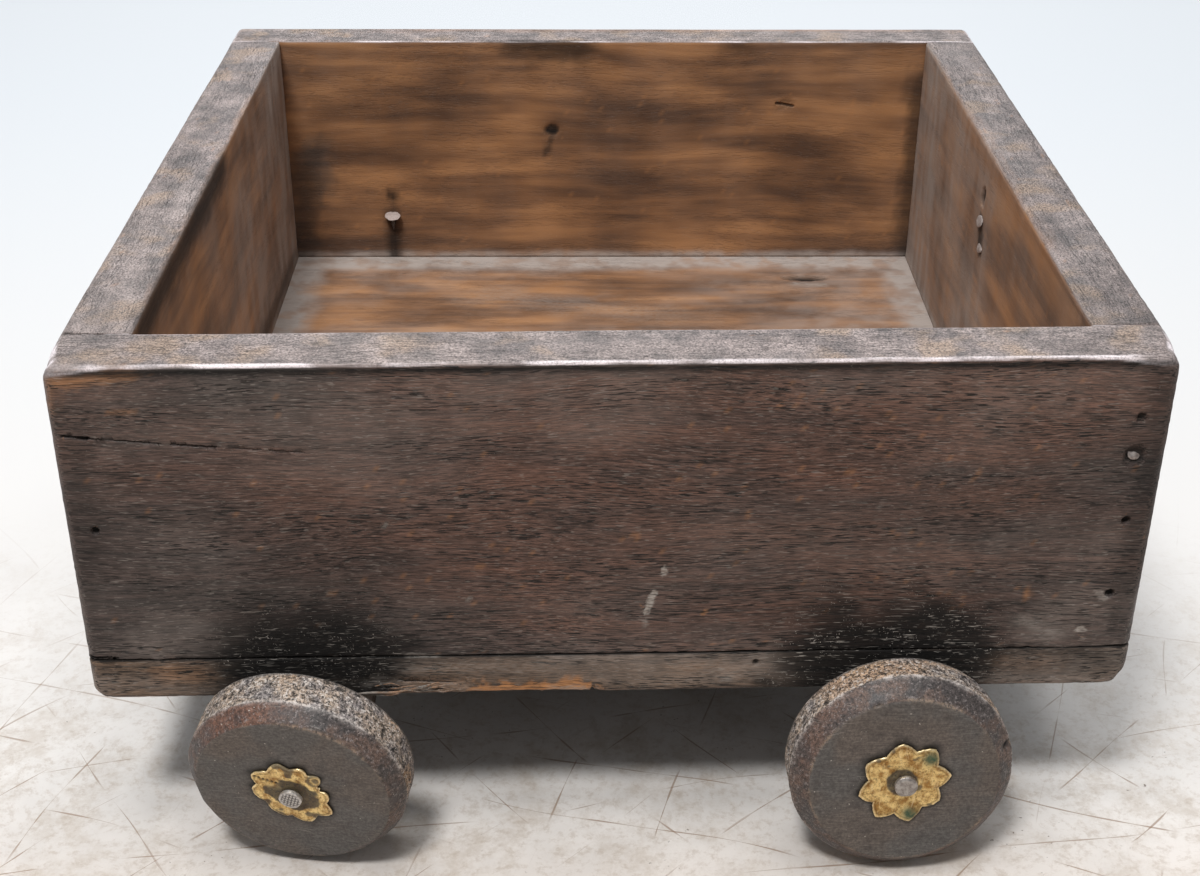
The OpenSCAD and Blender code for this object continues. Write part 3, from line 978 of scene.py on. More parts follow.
def build_axle_nail(axle, material):
    """The nail that a wheel turns on: point, shank and a hammered head."""
    corner = axle.corner
    outline = axle.outline(corner + "_nail")
    tip, (shank_start, shank) = outline[0][0], outline[-3]
    head_base, (head_top, head_radius) = outline[-2][0], outline[-1]
    grooved = corner in GROOVED
    head = [
        (shank, head_base),
        (head_radius, head_base + 0.1),
        (head_radius - 0.05, head_top - 0.35 if grooved else head_base + 1.2),
        (head_radius * 0.7, head_top - 0.1),
        (0.0, head_top),
    ]
    corners = [(0.0, tip), (shank * 0.2, tip), (shank, shank_start), *softened(head, 0.25)]
    profile = stepped(corners, 0.22)
    in_shank = profile[:, 1] < head_base - 0.5
    profile = np.vstack([profile[in_shank][::8], profile[~in_shank]])
    seed = SEED[corner]

    def shape(r, a, h):
        spots = np.stack([r * np.cos(a), r * np.sin(a), h], -1)
        top = smooth(h, head_base + 1.2, head_base + 1.4)
        dents = 0.10 * (1 + rough(spots, 1.6, seed + 40)) * smooth(h, head_base, head_base + 0.5)
        if grooved:
            dents = dents + grooves(0.16, r, a, top)
        rim = 0.12 * (1 + noise(around_circle(a, 2), 1.0, seed + 41))
        return np.where(h > head_base, r - rim * (r / head_radius) ** 4, r), h - dents * top

    points, faces, local = turned_solid(axle.place, profile, 112, shape)
    x, y, height = local.T
    dark = 0.6 * (height < head_base)
    if grooved:
        on_top = smooth(height, head_base + 1.15, head_base + 1.35)
        dark = grooves(1.0, np.hypot(x, y), np.arctan2(y, x), on_top) + dark
    attributes = {"stain": np.clip(dark, 0, 1), "scuff": 0.6 if grooved else 0.1}
    return make_piece(
        corner + "_hammered_nail", faces, points, attributes, material,
        "cart", corner + "_nail",
    )


def build_board_nail(name, centre, outward, radius, length, material, seed, dull=0.3, wide=1.0):
    """A small nail whose head shows in a board: how dirty it is, and how far it is beaten out."""
    out = np.array(outward, float)
    out /= np.linalg.norm(out)
    helper = np.array([0.0, 0.0, 1.0]) if abs(out[2]) < 0.9 else np.array([1.0, 0.0, 0.0])
    right = np.cross(helper, out)
    right /= np.linalg.norm(right)
    up = np.cross(out, right)
    centre = np.array(centre, float)

    def place(r, a, h):
        flat = wide * np.cos(a)[:, None] * right + np.sin(a)[:, None] * up
        return centre + r[:, None] * flat + h[:, None] * out

    corners = [
        (0.0, -length),
        (0.8, 3 - length),
        (0.9, -0.9),
        (radius, -0.5),
        (radius * 0.95, -0.2),
        (radius * 0.55, 0.0),
        (0.0, 0.05),
    ]

    def shape(r, a, h):
        spots = np.stack([r * np.cos(a), r * np.sin(a), h], -1)
        uneven = 1 - 0.09 * (1 + noise(around_circle(a, 1.6), 1.0, seed))
        return r * uneven, h - 0.12 * (1 + noise(spots, 1.1, seed + 1)) * (h > -0.5)

    points, faces, local = turned_solid(place, stepped(corners, 0.35), 40, shape)
    attributes = {"dust": dull, "stain": 0.95 * (local[:, 2] < -0.7)}
    return make_piece(name, faces, points, attributes, material)


# Each torn fibre: points along X, out of the near face and up, and its half width.
FIBRES = [
    ([(-76, -0.6, 0.6), (-70, 0.7, 1.7), (-63, 1.2, 2.2), (-56, 1.0, 3.8), (-50, -0.2, 4.4)], 0.50),
    ([(-74, -0.6, 0.3), (-67, 0.8, 0.9), (-61, 1.6, 2.7), (-56, 1.4, 2.4)], 0.36),
    ([(-66, -0.4, 2.2), (-61, 1.0, 3.9), (-57, 1.6, 4.9)], 0.26),
    ([(-60, -0.5, 2.6), (-53, 0.9, 3.3), (-47, 1.1, 4.9), (-43, 0.4, 4.6)], 0.34),
    ([(-57, -0.5, 1.2), (-50, 0.5, 1.5), (-44, 0.5, 2.6)], 0.30),
    ([(-70, -0.4, 3.2), (-65, 0.7, 4.6), (-62, 1.2, 4.4)], 0.22),
]


def build_splinter(material):
    """Torn fibres that stand out of the near face beside the left wheel."""
    sides = 8
    angle = np.arange(sides) * 2 * math.pi / sides
    points, faces = [], []
    for k, (path, thick) in enumerate(FIBRES):
        path = stepped([(x, near_y(x) - out, LIFT + z) for x, out, z in path], 0.8)
        count, start = len(path), sum(len(p) for p in points)
        share = np.linspace(0, 1, count)
        width = thick * np.minimum(1, np.minimum(share * 6, (1 - share) * 4) + 0.12)
        bend = 0.5 * np.stack([0 * share, noise(path, 5, 70 + k), noise(path, 4, 80 + k)], -1)
        path = path + bend * np.minimum(share * 3, 1)[:, None]
        ring = np.stack([0 * angle, 0.6 * np.cos(angle), np.sin(angle)], -1)
        made = (path[:, None] + width[:, None, None] * ring).reshape(-1, 3)
        made = made + 0.06 * noise(made, (2.5, 0.5, 0.5), 90 + k)[:, None]
        points.append(np.vstack([made, path[:1], path[-1:]]))
        first, last = count * sides, count * sides + 1
        own = [list(quad) for quad in ring_quads(count, sides, False)]
        for j in range(sides):
            following = (j + 1) % sides
            own.append([first, following, j])
            own.append([last, first - sides + j, first - sides + following])
        faces += [[start + i for i in face] for face in own]
    points = np.concatenate(points)
    pale = smooth(noise(points, (4, 2, 2), 95), -0.4, 0.5)
    attributes = {"scuff": 0.25 + 0.5 * pale, "raw": 0.5 * (1 - pale)}
    make_piece("near_edge_splinter", faces, points, attributes, material)


# ---------------------------------------------------------------- materials


class Shader:
    """One procedural material, put together from nodes."""

    def __init__(self, name):
        self.material = bpy.data.materials.new(name)
        self.material.use_nodes = True
        self.tree = self.material.node_tree
        self.tree.nodes.clear()
        self.surface = self.node("ShaderNodeBsdfPrincipled")
        output = self.node("ShaderNodeOutputMaterial")
        self.tree.links.new(self.surface.outputs["BSDF"], output.inputs["Surface"])
        self.object = self.node("ShaderNodeTexCoord").outputs["Object"]

    def node(self, kind):
        return self.tree.nodes.new(kind)

    def feed(self, socket, value):
        """Links a socket to another, or sets its own number or colour."""
        if isinstance(value, bpy.types.NodeSocket):
            self.tree.links.new(value, socket)
        elif isinstance(value, tuple) and len(value) == 3 and socket.type == "RGBA":
            socket.default_value = (*value, 1)
        else:
            socket.default_value = value

    def vector_math(self, operation, a, b):
        node = self.node("ShaderNodeVectorMath")
        node.operation = operation
        self.feed(node.inputs[0], a)
        self.feed(node.inputs["Scale" if operation == "SCALE" else 1], b)
        return node.outputs[0]

    def sizes(self, vector, size):
        """Coordinates in which one step is size millimetres: a number, or one per axis."""
        return self.vector_math("MULTIPLY", vector, [1 / (s * MM) for s in np.broadcast_to(size, 3)])

    def moved(self, vector, shift):
        """The same coordinates elsewhere, so that two textures of one size differ."""
        return self.vector_math("ADD", vector, (shift, shift * 1.7, shift * 0.6))

    def noise(self, size, detail=2.0, vector=None, shift=0.0, roughness=0.5, colour=False):
        """Noise with lumps about size millimetres across, from 0 to 1."""
        place = self.moved(self.sizes(vector or self.object, size), shift)
        node = self.node("ShaderNodeTexNoise")
        node.inputs["Scale"].default_value = 1
        node.inputs["Detail"].default_value = detail
        node.inputs["Roughness"].default_value = roughness
        self.feed(node.inputs["Vector"], place)
        return node.outputs["Color" if colour else "Fac"]

    def math(self, operation, a, b=0.0):
        node = self.node("ShaderNodeMath")
        node.operation = operation
        self.feed(node.inputs[0], a)
        self.feed(node.inputs[1], b)
        return node.outputs[0]

    def ramp(self, value, start, end, low=0.0, high=1.0):
        """A smooth step from low to high as value goes from start to end."""
        node = self.node("ShaderNodeMapRange")
        node.interpolation_type = "SMOOTHSTEP"
        self.feed(node.inputs["Value"], value)
        for name, number in zip(("From Min", "From Max", "To Min", "To Max"), (start, end, low, high)):
            node.inputs[name].default_value = number
        return node.outputs["Result"]

    def mix(self, share, a, b, blend="MIX"):
        node = self.node("ShaderNodeMix")
        node.data_type = "RGBA"
        node.blend_type = blend
        self.feed(node.inputs[0], share)
        self.feed(node.inputs[6], a)
        self.feed(node.inputs[7], b)
        return node.outputs[2]

    def shade(self, colour, value, start, end, dark, light):
        """The colour, times dark to light as value goes from start to end."""
        return self.mix(1.0, colour, self.grey(self.ramp(value, start, end, dark, light)), "MULTIPLY")

    def paint(self, name):
        """What the mesh code painted under this name, from 0 to 1."""
        node = self.node("ShaderNodeAttribute")
        node.attribute_name = name
        return node.outputs["Fac"]

    def product(self, *values):
        result = values[0]
        for value in values[1:]:
            result = self.math("MULTIPLY", result, value)
        return result

    def warped(self, size, amount, shift=3.1):
        """Object coordinates that wander by amount millimetres over lumps of the given size."""
        wander = self.noise(size, 1.0, shift=shift, colour=True)
        centred = self.vector_math("SUBTRACT", wander, (0.5, 0.5, 0.5))
        return self.vector_math("ADD", self.object, self.vector_math("SCALE", centred, amount * MM))

    def turned(self, vector, angle):
        """Coordinates turned about the upright axis."""
        node = self.node("ShaderNodeVectorRotate")
        node.rotation_type = "Z_AXIS"
        self.feed(node.inputs["Vector"], vector)
        node.inputs["Angle"].default_value = angle
        return node.outputs[0]

    def blend(self, share, a, b):
        """A number from a to b."""
        node = self.node("ShaderNodeMix")
        self.feed(node.inputs[0], share)
        self.feed(node.inputs[2], a)
        self.feed(node.inputs[3], b)
        return node.outputs[0]

    def grey(self, value):
        """A grey colour as bright as value."""
        node = self.node("ShaderNodeCombineColor")
        for channel in node.inputs:
            self.feed(channel, value)
        return node.outputs[0]

    def bump(self, height, depth):
        """A bump whose full height is depth millimetres."""
        node = self.node("ShaderNodeBump")
        node.inputs["Strength"].default_value = 1
        node.inputs["Distance"].default_value = depth * MM
        self.feed(node.inputs["Height"], height)
        return node.outputs[0]

    def finish(self, colour, roughness, normal=None, metallic=None):
        """Feeds the surface, and gives back the finished material."""
        given = {"Base Color": colour, "Roughness": roughness, "Normal": normal, "Metallic": metallic}
        for name, value in given.items():
            if value is not None:
                self.feed(self.surface.inputs[name], value)
        return self.material


def grain_size(grain, along, across):
    size = [across, across, across]
    size[grain] = along
    return size


# Colours are linear, from dark to light.
OUTER_DARK = (0.029, 0.0245, 0.0235)
OUTER_MID = (0.064, 0.0455, 0.0405)
OUTER_RED = (0.110, 0.057, 0.041)
# Dark, middle and reddest colours of the floor board and of the beams.
FLOOR_WOOD = ((0.043, 0.034, 0.029), (0.099, 0.073, 0.057), (0.152, 0.094, 0.057))
BEAM_WOOD = ((0.050, 0.036, 0.028), (0.120, 0.084, 0.060), (0.16, 0.100, 0.066))
INNER_DARK = (0.097, 0.048, 0.026)
INNER_MID = (0.236, 0.113, 0.051)
INNER_BRIGHT = (0.428, 0.210, 0.088)
# The rim's dusty wood, made paler with a painted sheen.
TOP_DARK = (0.118, 0.100, 0.097)
TOP_MID = (0.225, 0.184, 0.174)
TOP_PALE = (0.370, 0.302, 0.282)
TOP_TAN = (0.330, 0.235, 0.170)
# A painted highlight along the polish on the side boards' top arris.
POLISHED_HIGHLIGHT = (0.96, 0.87, 0.89)
RAW_WOOD = (0.520, 0.235, 0.085)
DUST = (0.390, 0.335, 0.300)
SOOT = (0.006, 0.005, 0.0045)
SCUFFED = (0.380, 0.345, 0.310)
SPECK = (0.560, 0.515, 0.460)


class Wood(Shader):
    """Old waxed hardwood: figure, fibres, open pores, dust, stains and rubbed edges."""

    def __init__(self, name, grain, seed):
        super().__init__(name)
        self.grain = grain
        self.seed = seed
        self.inside, self.top = self.paint("inside"), self.paint("top")
        self.stain, self.dust = self.paint("stain"), self.paint("dust")
        self.bent = self.warped(grain_size(grain, 100, 40), 10, seed)
        self.streaks = self.grained(90, 5.0, 2, 0.3, 0.6)
        self.bands = self.grained(40, 1.3, 2, 1.1)
        self.fibres = self.grained(6, 0.32, 3, 2.2, 0.75)
        self.figure = self.math("ADD", self.product(self.streaks, 0.6), self.product(self.bands, 0.4))
        self.blotches = self.grained(46, 15, 2, 7.3, 0.55)
        self.grit = self.noise(0.62, 2, shift=seed + 13.1, roughness=0.75)
        pore_places = self.ramp(self.grained(50, 8, 2, 4.7), 0.38, 0.60, 0.10, 1.0)
        self.pores = self.product(self.ramp(self.grained(5.5, 0.36, 1, 3.3), 0.575, 0.625), pore_places)

    def grained(self, along, across, detail, shift, roughness=0.5, bent=True):
        """Noise drawn out along the grain, which wanders a little where it is bent."""
        size = grain_size(self.grain, along, across)
        return self.noise(size, detail, self.bent if bent else None, self.seed + shift, roughness)

    def outer_colour(self, dark, mid, red):
        """Dark polish over the figure, worn through to redder wood in patches."""
        patches = self.grained(60, 12, 2, 6.1, 0.6)
        colour = self.mix(self.ramp(self.figure, 0.30, 0.66), dark, mid)
        reddish = self.product(self.ramp(patches, 0.34, 0.64, 0.35, 1.0), self.paint("red"))
        return self.mix(self.product(reddish, self.ramp(self.bands, 0.30, 0.60, 0.60, 1.0)), colour, red)

    def inner_colour(self):
        """The brighter brown of the bed, in soft blotches."""
        figure = self.math("ADD", self.product(self.blotches, 0.65), self.product(self.streaks, 0.35))
        colour = self.mix(self.ramp(figure, 0.33, 0.54), INNER_DARK, INNER_MID)
        return self.mix(self.ramp(figure, 0.47, 0.68), colour, INNER_BRIGHT)

    def rim_colour_with_sheen(self):
        """Pale, dry wood along the rim, gritty and pitted, with tan patches; part of its paleness is a
        painted sheen.
        """
        clouds = self.noise(11, 3, shift=self.seed + 8.2, roughness=0.65)
        figure = self.math("ADD", self.product(self.figure, 0.4), self.product(clouds, 0.6))
        colour = self.mix(self.ramp(figure, 0.36, 0.54), TOP_DARK, TOP_MID)
        colour = self.mix(self.ramp(figure, 0.48, 0.68), colour, TOP_PALE)
        tan = self.ramp(self.noise(16, 2, shift=self.seed + 8.7), 0.52, 0.68, 0, 0.7)
        colour = self.shade(self.mix(tan, colour, TOP_TAN), self.grit, 0.25, 0.75, 0.32, 1.72)
        pits = self.ramp(self.grained(1.3, 0.5, 1, 10.4, bent=False), 0.61, 0.67, 0, 0.8)
        return self.mix(pits, colour, OUTER_DARK)

    def weathered(self, colour):
        """Rubbed edges, dust, raw wood, soot with painted shade behind the wheels, and open pores over the
        boards' own colour.
        """
        rubbed = self.ramp(self.noise(7, 2, shift=self.seed + 8.8), 0.36, 0.60, 0.05, 0.8)
        colour = self.mix(self.product(self.paint("edge"), rubbed), colour, TOP_PALE)
        settled = self.ramp(self.noise((9, 9, 26), 2, shift=self.seed + 9.4), 0.30, 0.66, 0.5, 1.0)
        colour = self.mix(self.product(self.dust, settled, 0.85), colour, DUST)
        raw = self.product(self.paint("raw"), self.ramp(self.fibres, 0.3, 0.7, 0.45, 1.0))
        colour = self.mix(raw, colour, RAW_WOOD)
        # Stains and soot, with the shade painted on the near face behind the wheels.
        stains_and_shade = self.product(self.stain, self.ramp(self.bands, 0.3, 0.7, 1.0, 0.90))
        colour = self.mix(stains_and_shade, colour, SOOT)
        open_pores = self.product(self.pores, self.blend(self.inside, 0.95, 0.12))
        return self.mix(self.product(open_pores, self.blend(self.top, 1.0, 0.45)), colour, SOOT)

    def scuffed(self, colour, polish_and_highlight):
        """Pale dashes, scuffs, the arris's polish with a painted highlight on it, and crumbs and scratches
        in the grime.
        """
        dashes = self.ramp(self.grained(3.2, 0.36, 1, 5.9), 0.63, 0.70)
        in_dust = self.ramp(self.dust, 0, 0.6, 0.26, 0.5)
        dashes = self.product(dashes, in_dust, self.ramp(self.stain, 0, 0.8, 1.0, 0.12))
        colour = self.mix(self.product(dashes, self.blend(self.inside, 1.0, 0.05)), colour, SCUFFED)
        threads = self.ramp(self.noise(grain_size(self.grain, 2.2, 0.5), 2, None, 6.5), 0.3, 0.6, 0.2, 1)
        colour = self.mix(self.product(self.paint("scuff"), threads), colour, SCUFFED)
        # The painted highlight on the arris's polish.
        colour = self.mix(self.product(polish_and_highlight, self.ramp(self.grit, 0.3, 0.6, 0.5, 1.0)), colour, POLISHED_HIGHLIGHT)
        crumb_places = self.ramp(self.noise(5, 2, shift=self.seed + 14.2), 0.44, 0.62, 0.0, 1.0)
        crumbs = self.ramp(self.noise(0.62, 2, shift=self.seed + 12.7, roughness=0.7), 0.645, 0.69)
        scratches = self.product(self.ramp(self.grained(4, 0.30, 1, 16.0), 0.64, 0.71), 0.55)
        light_marks = self.math("MAXIMUM", self.product(crumbs, crumb_places), scratches)
        return self.mix(self.product(light_marks, self.paint("specks")), colour, SPECK)

    def relief(self):
        """Height of fibres and bands, with the pores sunk, and grit on the rim."""
        height = self.math("SUBTRACT", self.product(self.fibres, 0.6), self.pores)
        height = self.math("ADD", height, self.product(self.bands, 0.4))
        height = self.product(height, self.blend(self.inside, 1.0, 0.4))
        return self.math("ADD", height, self.product(self.grit, self.top))


def wood(name, grain, seed, outer=(OUTER_DARK, OUTER_MID, OUTER_RED)):
    """The wood of the box, its floor or its beams, with the grain along one axis."""
    s = Wood(name, grain, seed)
    shade = s.ramp(s.fibres, 0.30, 0.68, 0.24, 1.82)
    soft_shade = s.ramp(s.fibres, 0.26, 0.72, 0.98, 1.02)
    colour = s.mix(s.inside, s.outer_colour(*outer), s.inner_colour())
    colour = s.mix(1.0, colour, s.grey(s.blend(s.inside, shade, soft_shade)), "MULTIPLY")
    # The rim gets its own colour, which holds a painted sheen.
    colour = s.weathered(s.mix(s.top, colour, s.rim_colour_with_sheen()))
    # Where the arris carries its polish and the painted highlight; the polish also lowers the roughness
    # there.
    polish_and_highlight = s.ramp(s.grained(26, 5, 2, 11.3, bent=False), 0.42, 0.60, 0.1, 1.0)
    polish_and_highlight = s.product(s.paint("line"), polish_and_highlight)
    colour = s.scuffed(colour, polish_and_highlight)
    roughness = s.ramp(s.blotches, 0.3, 0.7, 0.42, 0.56)
    roughness = s.math("ADD", roughness, s.product(s.dust, 0.15))
    roughness = s.math("ADD", roughness, s.product(s.stain, 0.3))
    roughness = s.math("SUBTRACT", roughness, s.product(polish_and_highlight, 0.26))
    s.surface.inputs["Specular IOR Level"].default_value = 0.3
    return s.finish(colour, roughness, s.bump(s.relief(), 0.22))


WHEEL_FACE = (0.089, 0.083, 0.078)
WHEEL_FACE_BROWN = (0.102, 0.084, 0.072)
WHEEL_TREAD_GREY = (0.165, 0.145, 0.140)
WHEEL_TREAD_TAN = (0.285, 0.222, 0.172)
WHEEL_TREAD_BARE = (0.42, 0.25, 0.13)
WHEEL_CRUMBS = (0.640, 0.580, 0.530)
WHEEL_BEVEL = (0.048, 0.040, 0.038)
WHEEL_BEVEL_BROWN = (0.100, 0.066, 0.052)
WHEEL_BEVEL_DUST = (0.33, 0.29, 0.28)
WHEEL_RUST = (0.135, 0.060, 0.037)
WHEEL_LINE = (0.40, 0.29, 0.20)
WHEEL_EDGE = (0.62, 0.56, 0.52)


class WheelWood(Shader):
    """Rough end grain packed with dust round the tread, and a smooth grimy face."""

    def __init__(self):
        super().__init__("wheel_wood")
        self.coarse = self.noise(2.4, 4, roughness=0.75)
        self.fine = self.noise(0.9, 3, shift=4.4, roughness=0.75)
        self.bits = self.noise(0.85, 3, shift=12.4, roughness=0.8)
        self.mottle = self.noise(7, 4, shift=2.2, roughness=0.6)

    def face_colour(self):
        fibres = self.noise(grain_size(X, 9, 0.42), 3, self.warped(30, 5, 3.3), 7.1, 0.7)
        cloud = self.noise(20, 3, shift=5.5)
        colour = self.mix(self.ramp(cloud, 0.40, 0.62), WHEEL_FACE, WHEEL_FACE_BROWN)
        smears = self.ramp(self.noise(5, 4, shift=9.1, roughness=0.65), 0.52, 0.70, 0, 0.55)
        colour = self.mix(smears, colour, WHEEL_BEVEL)
        colour = self.shade(colour, fibres, 0.3, 0.7, 0.76, 1.22)
        return self.shade(colour, self.bits, 0.3, 0.7, 0.66, 1.36)

    def tread_colour(self):
        colour = self.mix(self.ramp(self.mottle, 0.36, 0.60), WHEEL_TREAD_GREY, WHEEL_TREAD_TAN)
        colour = self.mix(self.product(self.paint("raw"), 0.5), colour, WHEEL_TREAD_BARE)
        colour = self.shade(colour, self.bits, 0.30, 0.70, 0.10, 2.1)
        crumb_places = self.ramp(self.coarse, 0.42, 0.58, 0.30, 1.0)
        crumbs = self.ramp(self.noise(1.05, 2, shift=15.8, roughness=0.75), 0.535, 0.60)
        colour = self.mix(self.product(crumbs, crumb_places, 0.9), colour, WHEEL_CRUMBS)
        colour = self.mix(self.ramp(self.coarse, 0.47, 0.38, 0, 0.85), colour, SOOT)
        return self.mix(self.ramp(self.fine, 0.54, 0.61, 0, 0.92), colour, SOOT)

    def bevel_colour(self):
        colour = self.mix(self.ramp(self.mottle, 0.42, 0.62), WHEEL_BEVEL, WHEEL_BEVEL_BROWN)
        rust = self.product(self.paint("red"), self.ramp(self.mottle, 0.34, 0.56, 0.35, 1.0))
        colour = self.shade(self.mix(rust, colour, WHEEL_RUST), self.bits, 0.28, 0.72, 0.3, 1.8)
        dusty = self.ramp(self.noise(0.95, 3, shift=16.9, roughness=0.8), 0.55, 0.64, 0, 0.45)
        colour = self.mix(dusty, colour, WHEEL_BEVEL_DUST)
        return self.mix(self.product(self.ramp(self.fine, 0.57, 0.67), 0.7), colour, SOOT)

    def worn(self, colour):
        """Rubbed arrises, the grime and painted shadow round the flower, and small pale dots and scratches.
        """
        line = self.product(self.paint("line"), self.ramp(self.fine, 0.38, 0.58, 0.0, 0.8))
        colour = self.mix(line, colour, WHEEL_LINE)
        in_bits = self.ramp(self.bits, 0.38, 0.56, 0.15, 1.0)
        in_lumps = self.ramp(self.coarse, 0.36, 0.52, 0.3, 1.0)
        colour = self.mix(self.product(self.paint("edge"), in_bits, in_lumps), colour, WHEEL_EDGE)
        # Soot, with the painted shadow round the flower.
        colour = self.mix(self.paint("stain"), colour, SOOT)
        dots = self.ramp(self.noise(0.8, 0, shift=8.3), 0.84, 0.87, 0, 0.6)
        scratches = self.noise((8, 5, 0.26), 1, self.warped(16, 9, 1.3), 18.0)
        light_marks = self.math("MAXIMUM", dots, self.ramp(scratches, 0.70, 0.77, 0, 0.22))
        return self.mix(light_marks, colour, SPECK)


def wheel_wood():
    s = WheelWood()
    tread = s.paint("tread")
    colour = s.mix(s.paint("bevel"), s.face_colour(), s.bevel_colour())
    colour = s.worn(s.mix(tread, colour, s.tread_colour()))
    roughness = s.ramp(s.mottle, 0.3, 0.7, 0.50, 0.66)
    roughness = s.math("ADD", roughness, s.product(tread, 0.16))
    height = s.product(s.coarse, s.ramp(tread, 0, 1, 0.25, 1.0))
    height = s.math("ADD", height, s.product(s.fine, 0.25))
    height = s.math("ADD", height, s.product(s.bits, 0.15))
    return s.finish(colour, roughness, s.bump(height, 0.35))


BRASS_DULL = (0.37, 0.205, 0.060)
BRASS_BRIGHT = (0.88, 0.67, 0.30)
BRASS_SPOTS = (0.16, 0.085, 0.030)
BRASS_SCRATCH = (0.95, 0.80, 0.50)
# A painted highlight along the flower's outer edge.
BRASS_EDGE_HIGHLIGHT = (0.96, 0.80, 0.50)
BRASS_LINE = (0.10, 0.055, 0.022)
TARNISH = (0.036, 0.029, 0.024)
VERDIGRIS = (0.016, 0.062, 0.034)


def brass():
    """Thin old brass, tarnished in its dents and green at a few petals."""
    s = Shader("old_brass")
    cloud = s.noise(2.8, 4, shift=1.4, roughness=0.6)
    fine = s.noise(0.7, 3, shift=2.9, roughness=0.75)
    scratches = s.ramp(s.noise((0.28, 5, 5), 1, s.warped(9, 5, 2.2), 5.4), 0.62, 0.70)
    colour = s.mix(s.ramp(cloud, 0.34, 0.62), BRASS_DULL, BRASS_BRIGHT)
    colour = s.mix(s.ramp(fine, 0.50, 0.64, 0, 0.6), colour, BRASS_SPOTS)
    colour = s.mix(s.product(scratches, 0.4), colour, BRASS_SCRATCH)
    # The painted highlight along the flower's outer edge.
    colour = s.mix(s.product(s.paint("edge"), s.ramp(fine, 0.3, 0.6, 1.0, 0.4)), colour, BRASS_EDGE_HIGHLIGHT)
    colour = s.mix(s.product(s.paint("line"), 0.55), colour, BRASS_LINE)
    tarnish = s.product(s.paint("stain"), s.ramp(fine, 0.3, 0.65, 1.0, 0.8))
    colour = s.mix(tarnish, colour, TARNISH)
    green = s.product(s.paint("dust"), s.ramp(cloud, 0.3, 0.6, 0.6, 1.0))
    colour = s.mix(green, colour, VERDIGRIS)
    dull = s.math("MAXIMUM", tarnish, green)
    metallic = s.ramp(dull, 0.1, 0.8, 0.80, 0.10)
    roughness = s.math("ADD", s.ramp(fine, 0.3, 0.7, 0.30, 0.50), s.product(dull, 0.28))
    height = s.math("ADD", s.product(cloud, 0.6), s.product(fine, 0.4))
    return s.finish(colour, roughness, s.bump(height, 0.22), metallic)


STEEL_DARK = (0.21, 0.19, 0.18)
STEEL_MID = (0.42, 0.40, 0.38)
STEEL_BRIGHT = (0.86, 0.84, 0.82)
STEEL_BROWN = (0.42, 0.34, 0.31)
STEEL_SPOTS = (0.10, 0.075, 0.06)
STEEL_GRIME = (0.030, 0.026, 0.024)


def nail_steel():
    """Dull grey steel, darker in its grooves and browner at the edge."""
    s = Shader("nail_steel")
    cloud = s.noise(1.6, 3, shift=6.2)
    fine = s.noise(0.4, 3, shift=3.7)
    colour = s.mix(s.ramp(cloud, 0.36, 0.64), STEEL_DARK, STEEL_MID)
    colour = s.mix(s.paint("scuff"), colour, STEEL_BRIGHT)
    colour = s.mix(s.paint("dust"), colour, STEEL_BROWN)
    colour = s.mix(s.ramp(fine, 0.55, 0.72, 0, 0.6), colour, STEEL_SPOTS)
    colour = s.mix(s.product(s.paint("stain"), 0.9), colour, STEEL_GRIME)
    metallic = s.ramp(s.math("ADD", s.paint("stain"), s.paint("dust")), 0, 1, 0.80, 0.15)
    roughness = s.math("ADD", s.ramp(cloud, 0.3, 0.7, 0.34, 0.50), s.product(s.paint("dust"), 0.2))
    return s.finish(colour, roughness, s.bump(fine, 0.1), metallic)


# ------------------------------------------------------------ the assembly


def seam(points):
    """The joint over the floor board opens at the left and closes towards the right."""
    return 0.45 - 0.3 * smooth(points[:, X], 0, 80) + 0.12 * noise(points, 18, 60)


def front_arris(points):
    """The near board's front arris is rounder towards its ends."""
    from_end = np.minimum(points[:, X] - LEFT, RIGHT - points[:, X])
    return 1.5 + 3.0 * (1 - smooth(from_end, 2, 22))


def bed_arris(points):
    """The side boards' inner arrises are worn along the bed, and close at the end boards."""
    return 0.08 + 1.1 * (1 - smooth(np.abs(points[:, X]), RIGHT_WALL - 1, RIGHT_WALL + 1.5))


def shoulder(points):
    """The near board's top corners are worn away most next to its face."""
    return 3.0 + 2.6 * (1 - smooth(points[:, Y] - NEAR_LOW[Y], 4, 14))


def build_sides(material):
    near = Board((LEFT, NEAR_LOW[Y], FLOOR_TOP), (RIGHT, NEAR_WALL, RIM), 1.4)
    near.round(Y, LOW, Z, HIGH, front_arris).round(Y, HIGH, Z, HIGH, bed_arris)
    near.round(X, LOW, Y, LOW, 3.2).round(X, HIGH, Y, LOW, 3.6)
    near.round(X, LOW, Z, HIGH, shoulder).round(X, HIGH, Z, HIGH, shoulder)
    near.round(Y, LOW, Z, LOW, seam).round(Y, HIGH, Z, LOW, 0.03)
    build_board(
        "near_side_plank", near, NEAR_MARKS + RIM_MARKS, board_relief(X, 101),
        wall_paint(Y, 1, 201), material, "near_side_board",
    )
    far = Board((LEFT, FAR_WALL, FLOOR_TOP), (RIGHT, FAR, RIM), 1.8)
    far.round(Y, HIGH, Z, HIGH, 3.0).round(Y, LOW, Z, HIGH, bed_arris)
    far.round(X, LOW, Y, HIGH, 3.6).round(X, HIGH, Y, HIGH, 3.6)
    far.round(X, LOW, Z, HIGH, 3.0).round(X, HIGH, Z, HIGH, 3.0)
    far.round(Y, LOW, Z, LOW, 0.03)
    build_board(
        "far_side_plank", far, FAR_WALL_MARKS + RIM_MARKS, board_relief(X, 111),
        wall_paint(Y, -1, 211, 0.10), material, "far_side_board",
    )


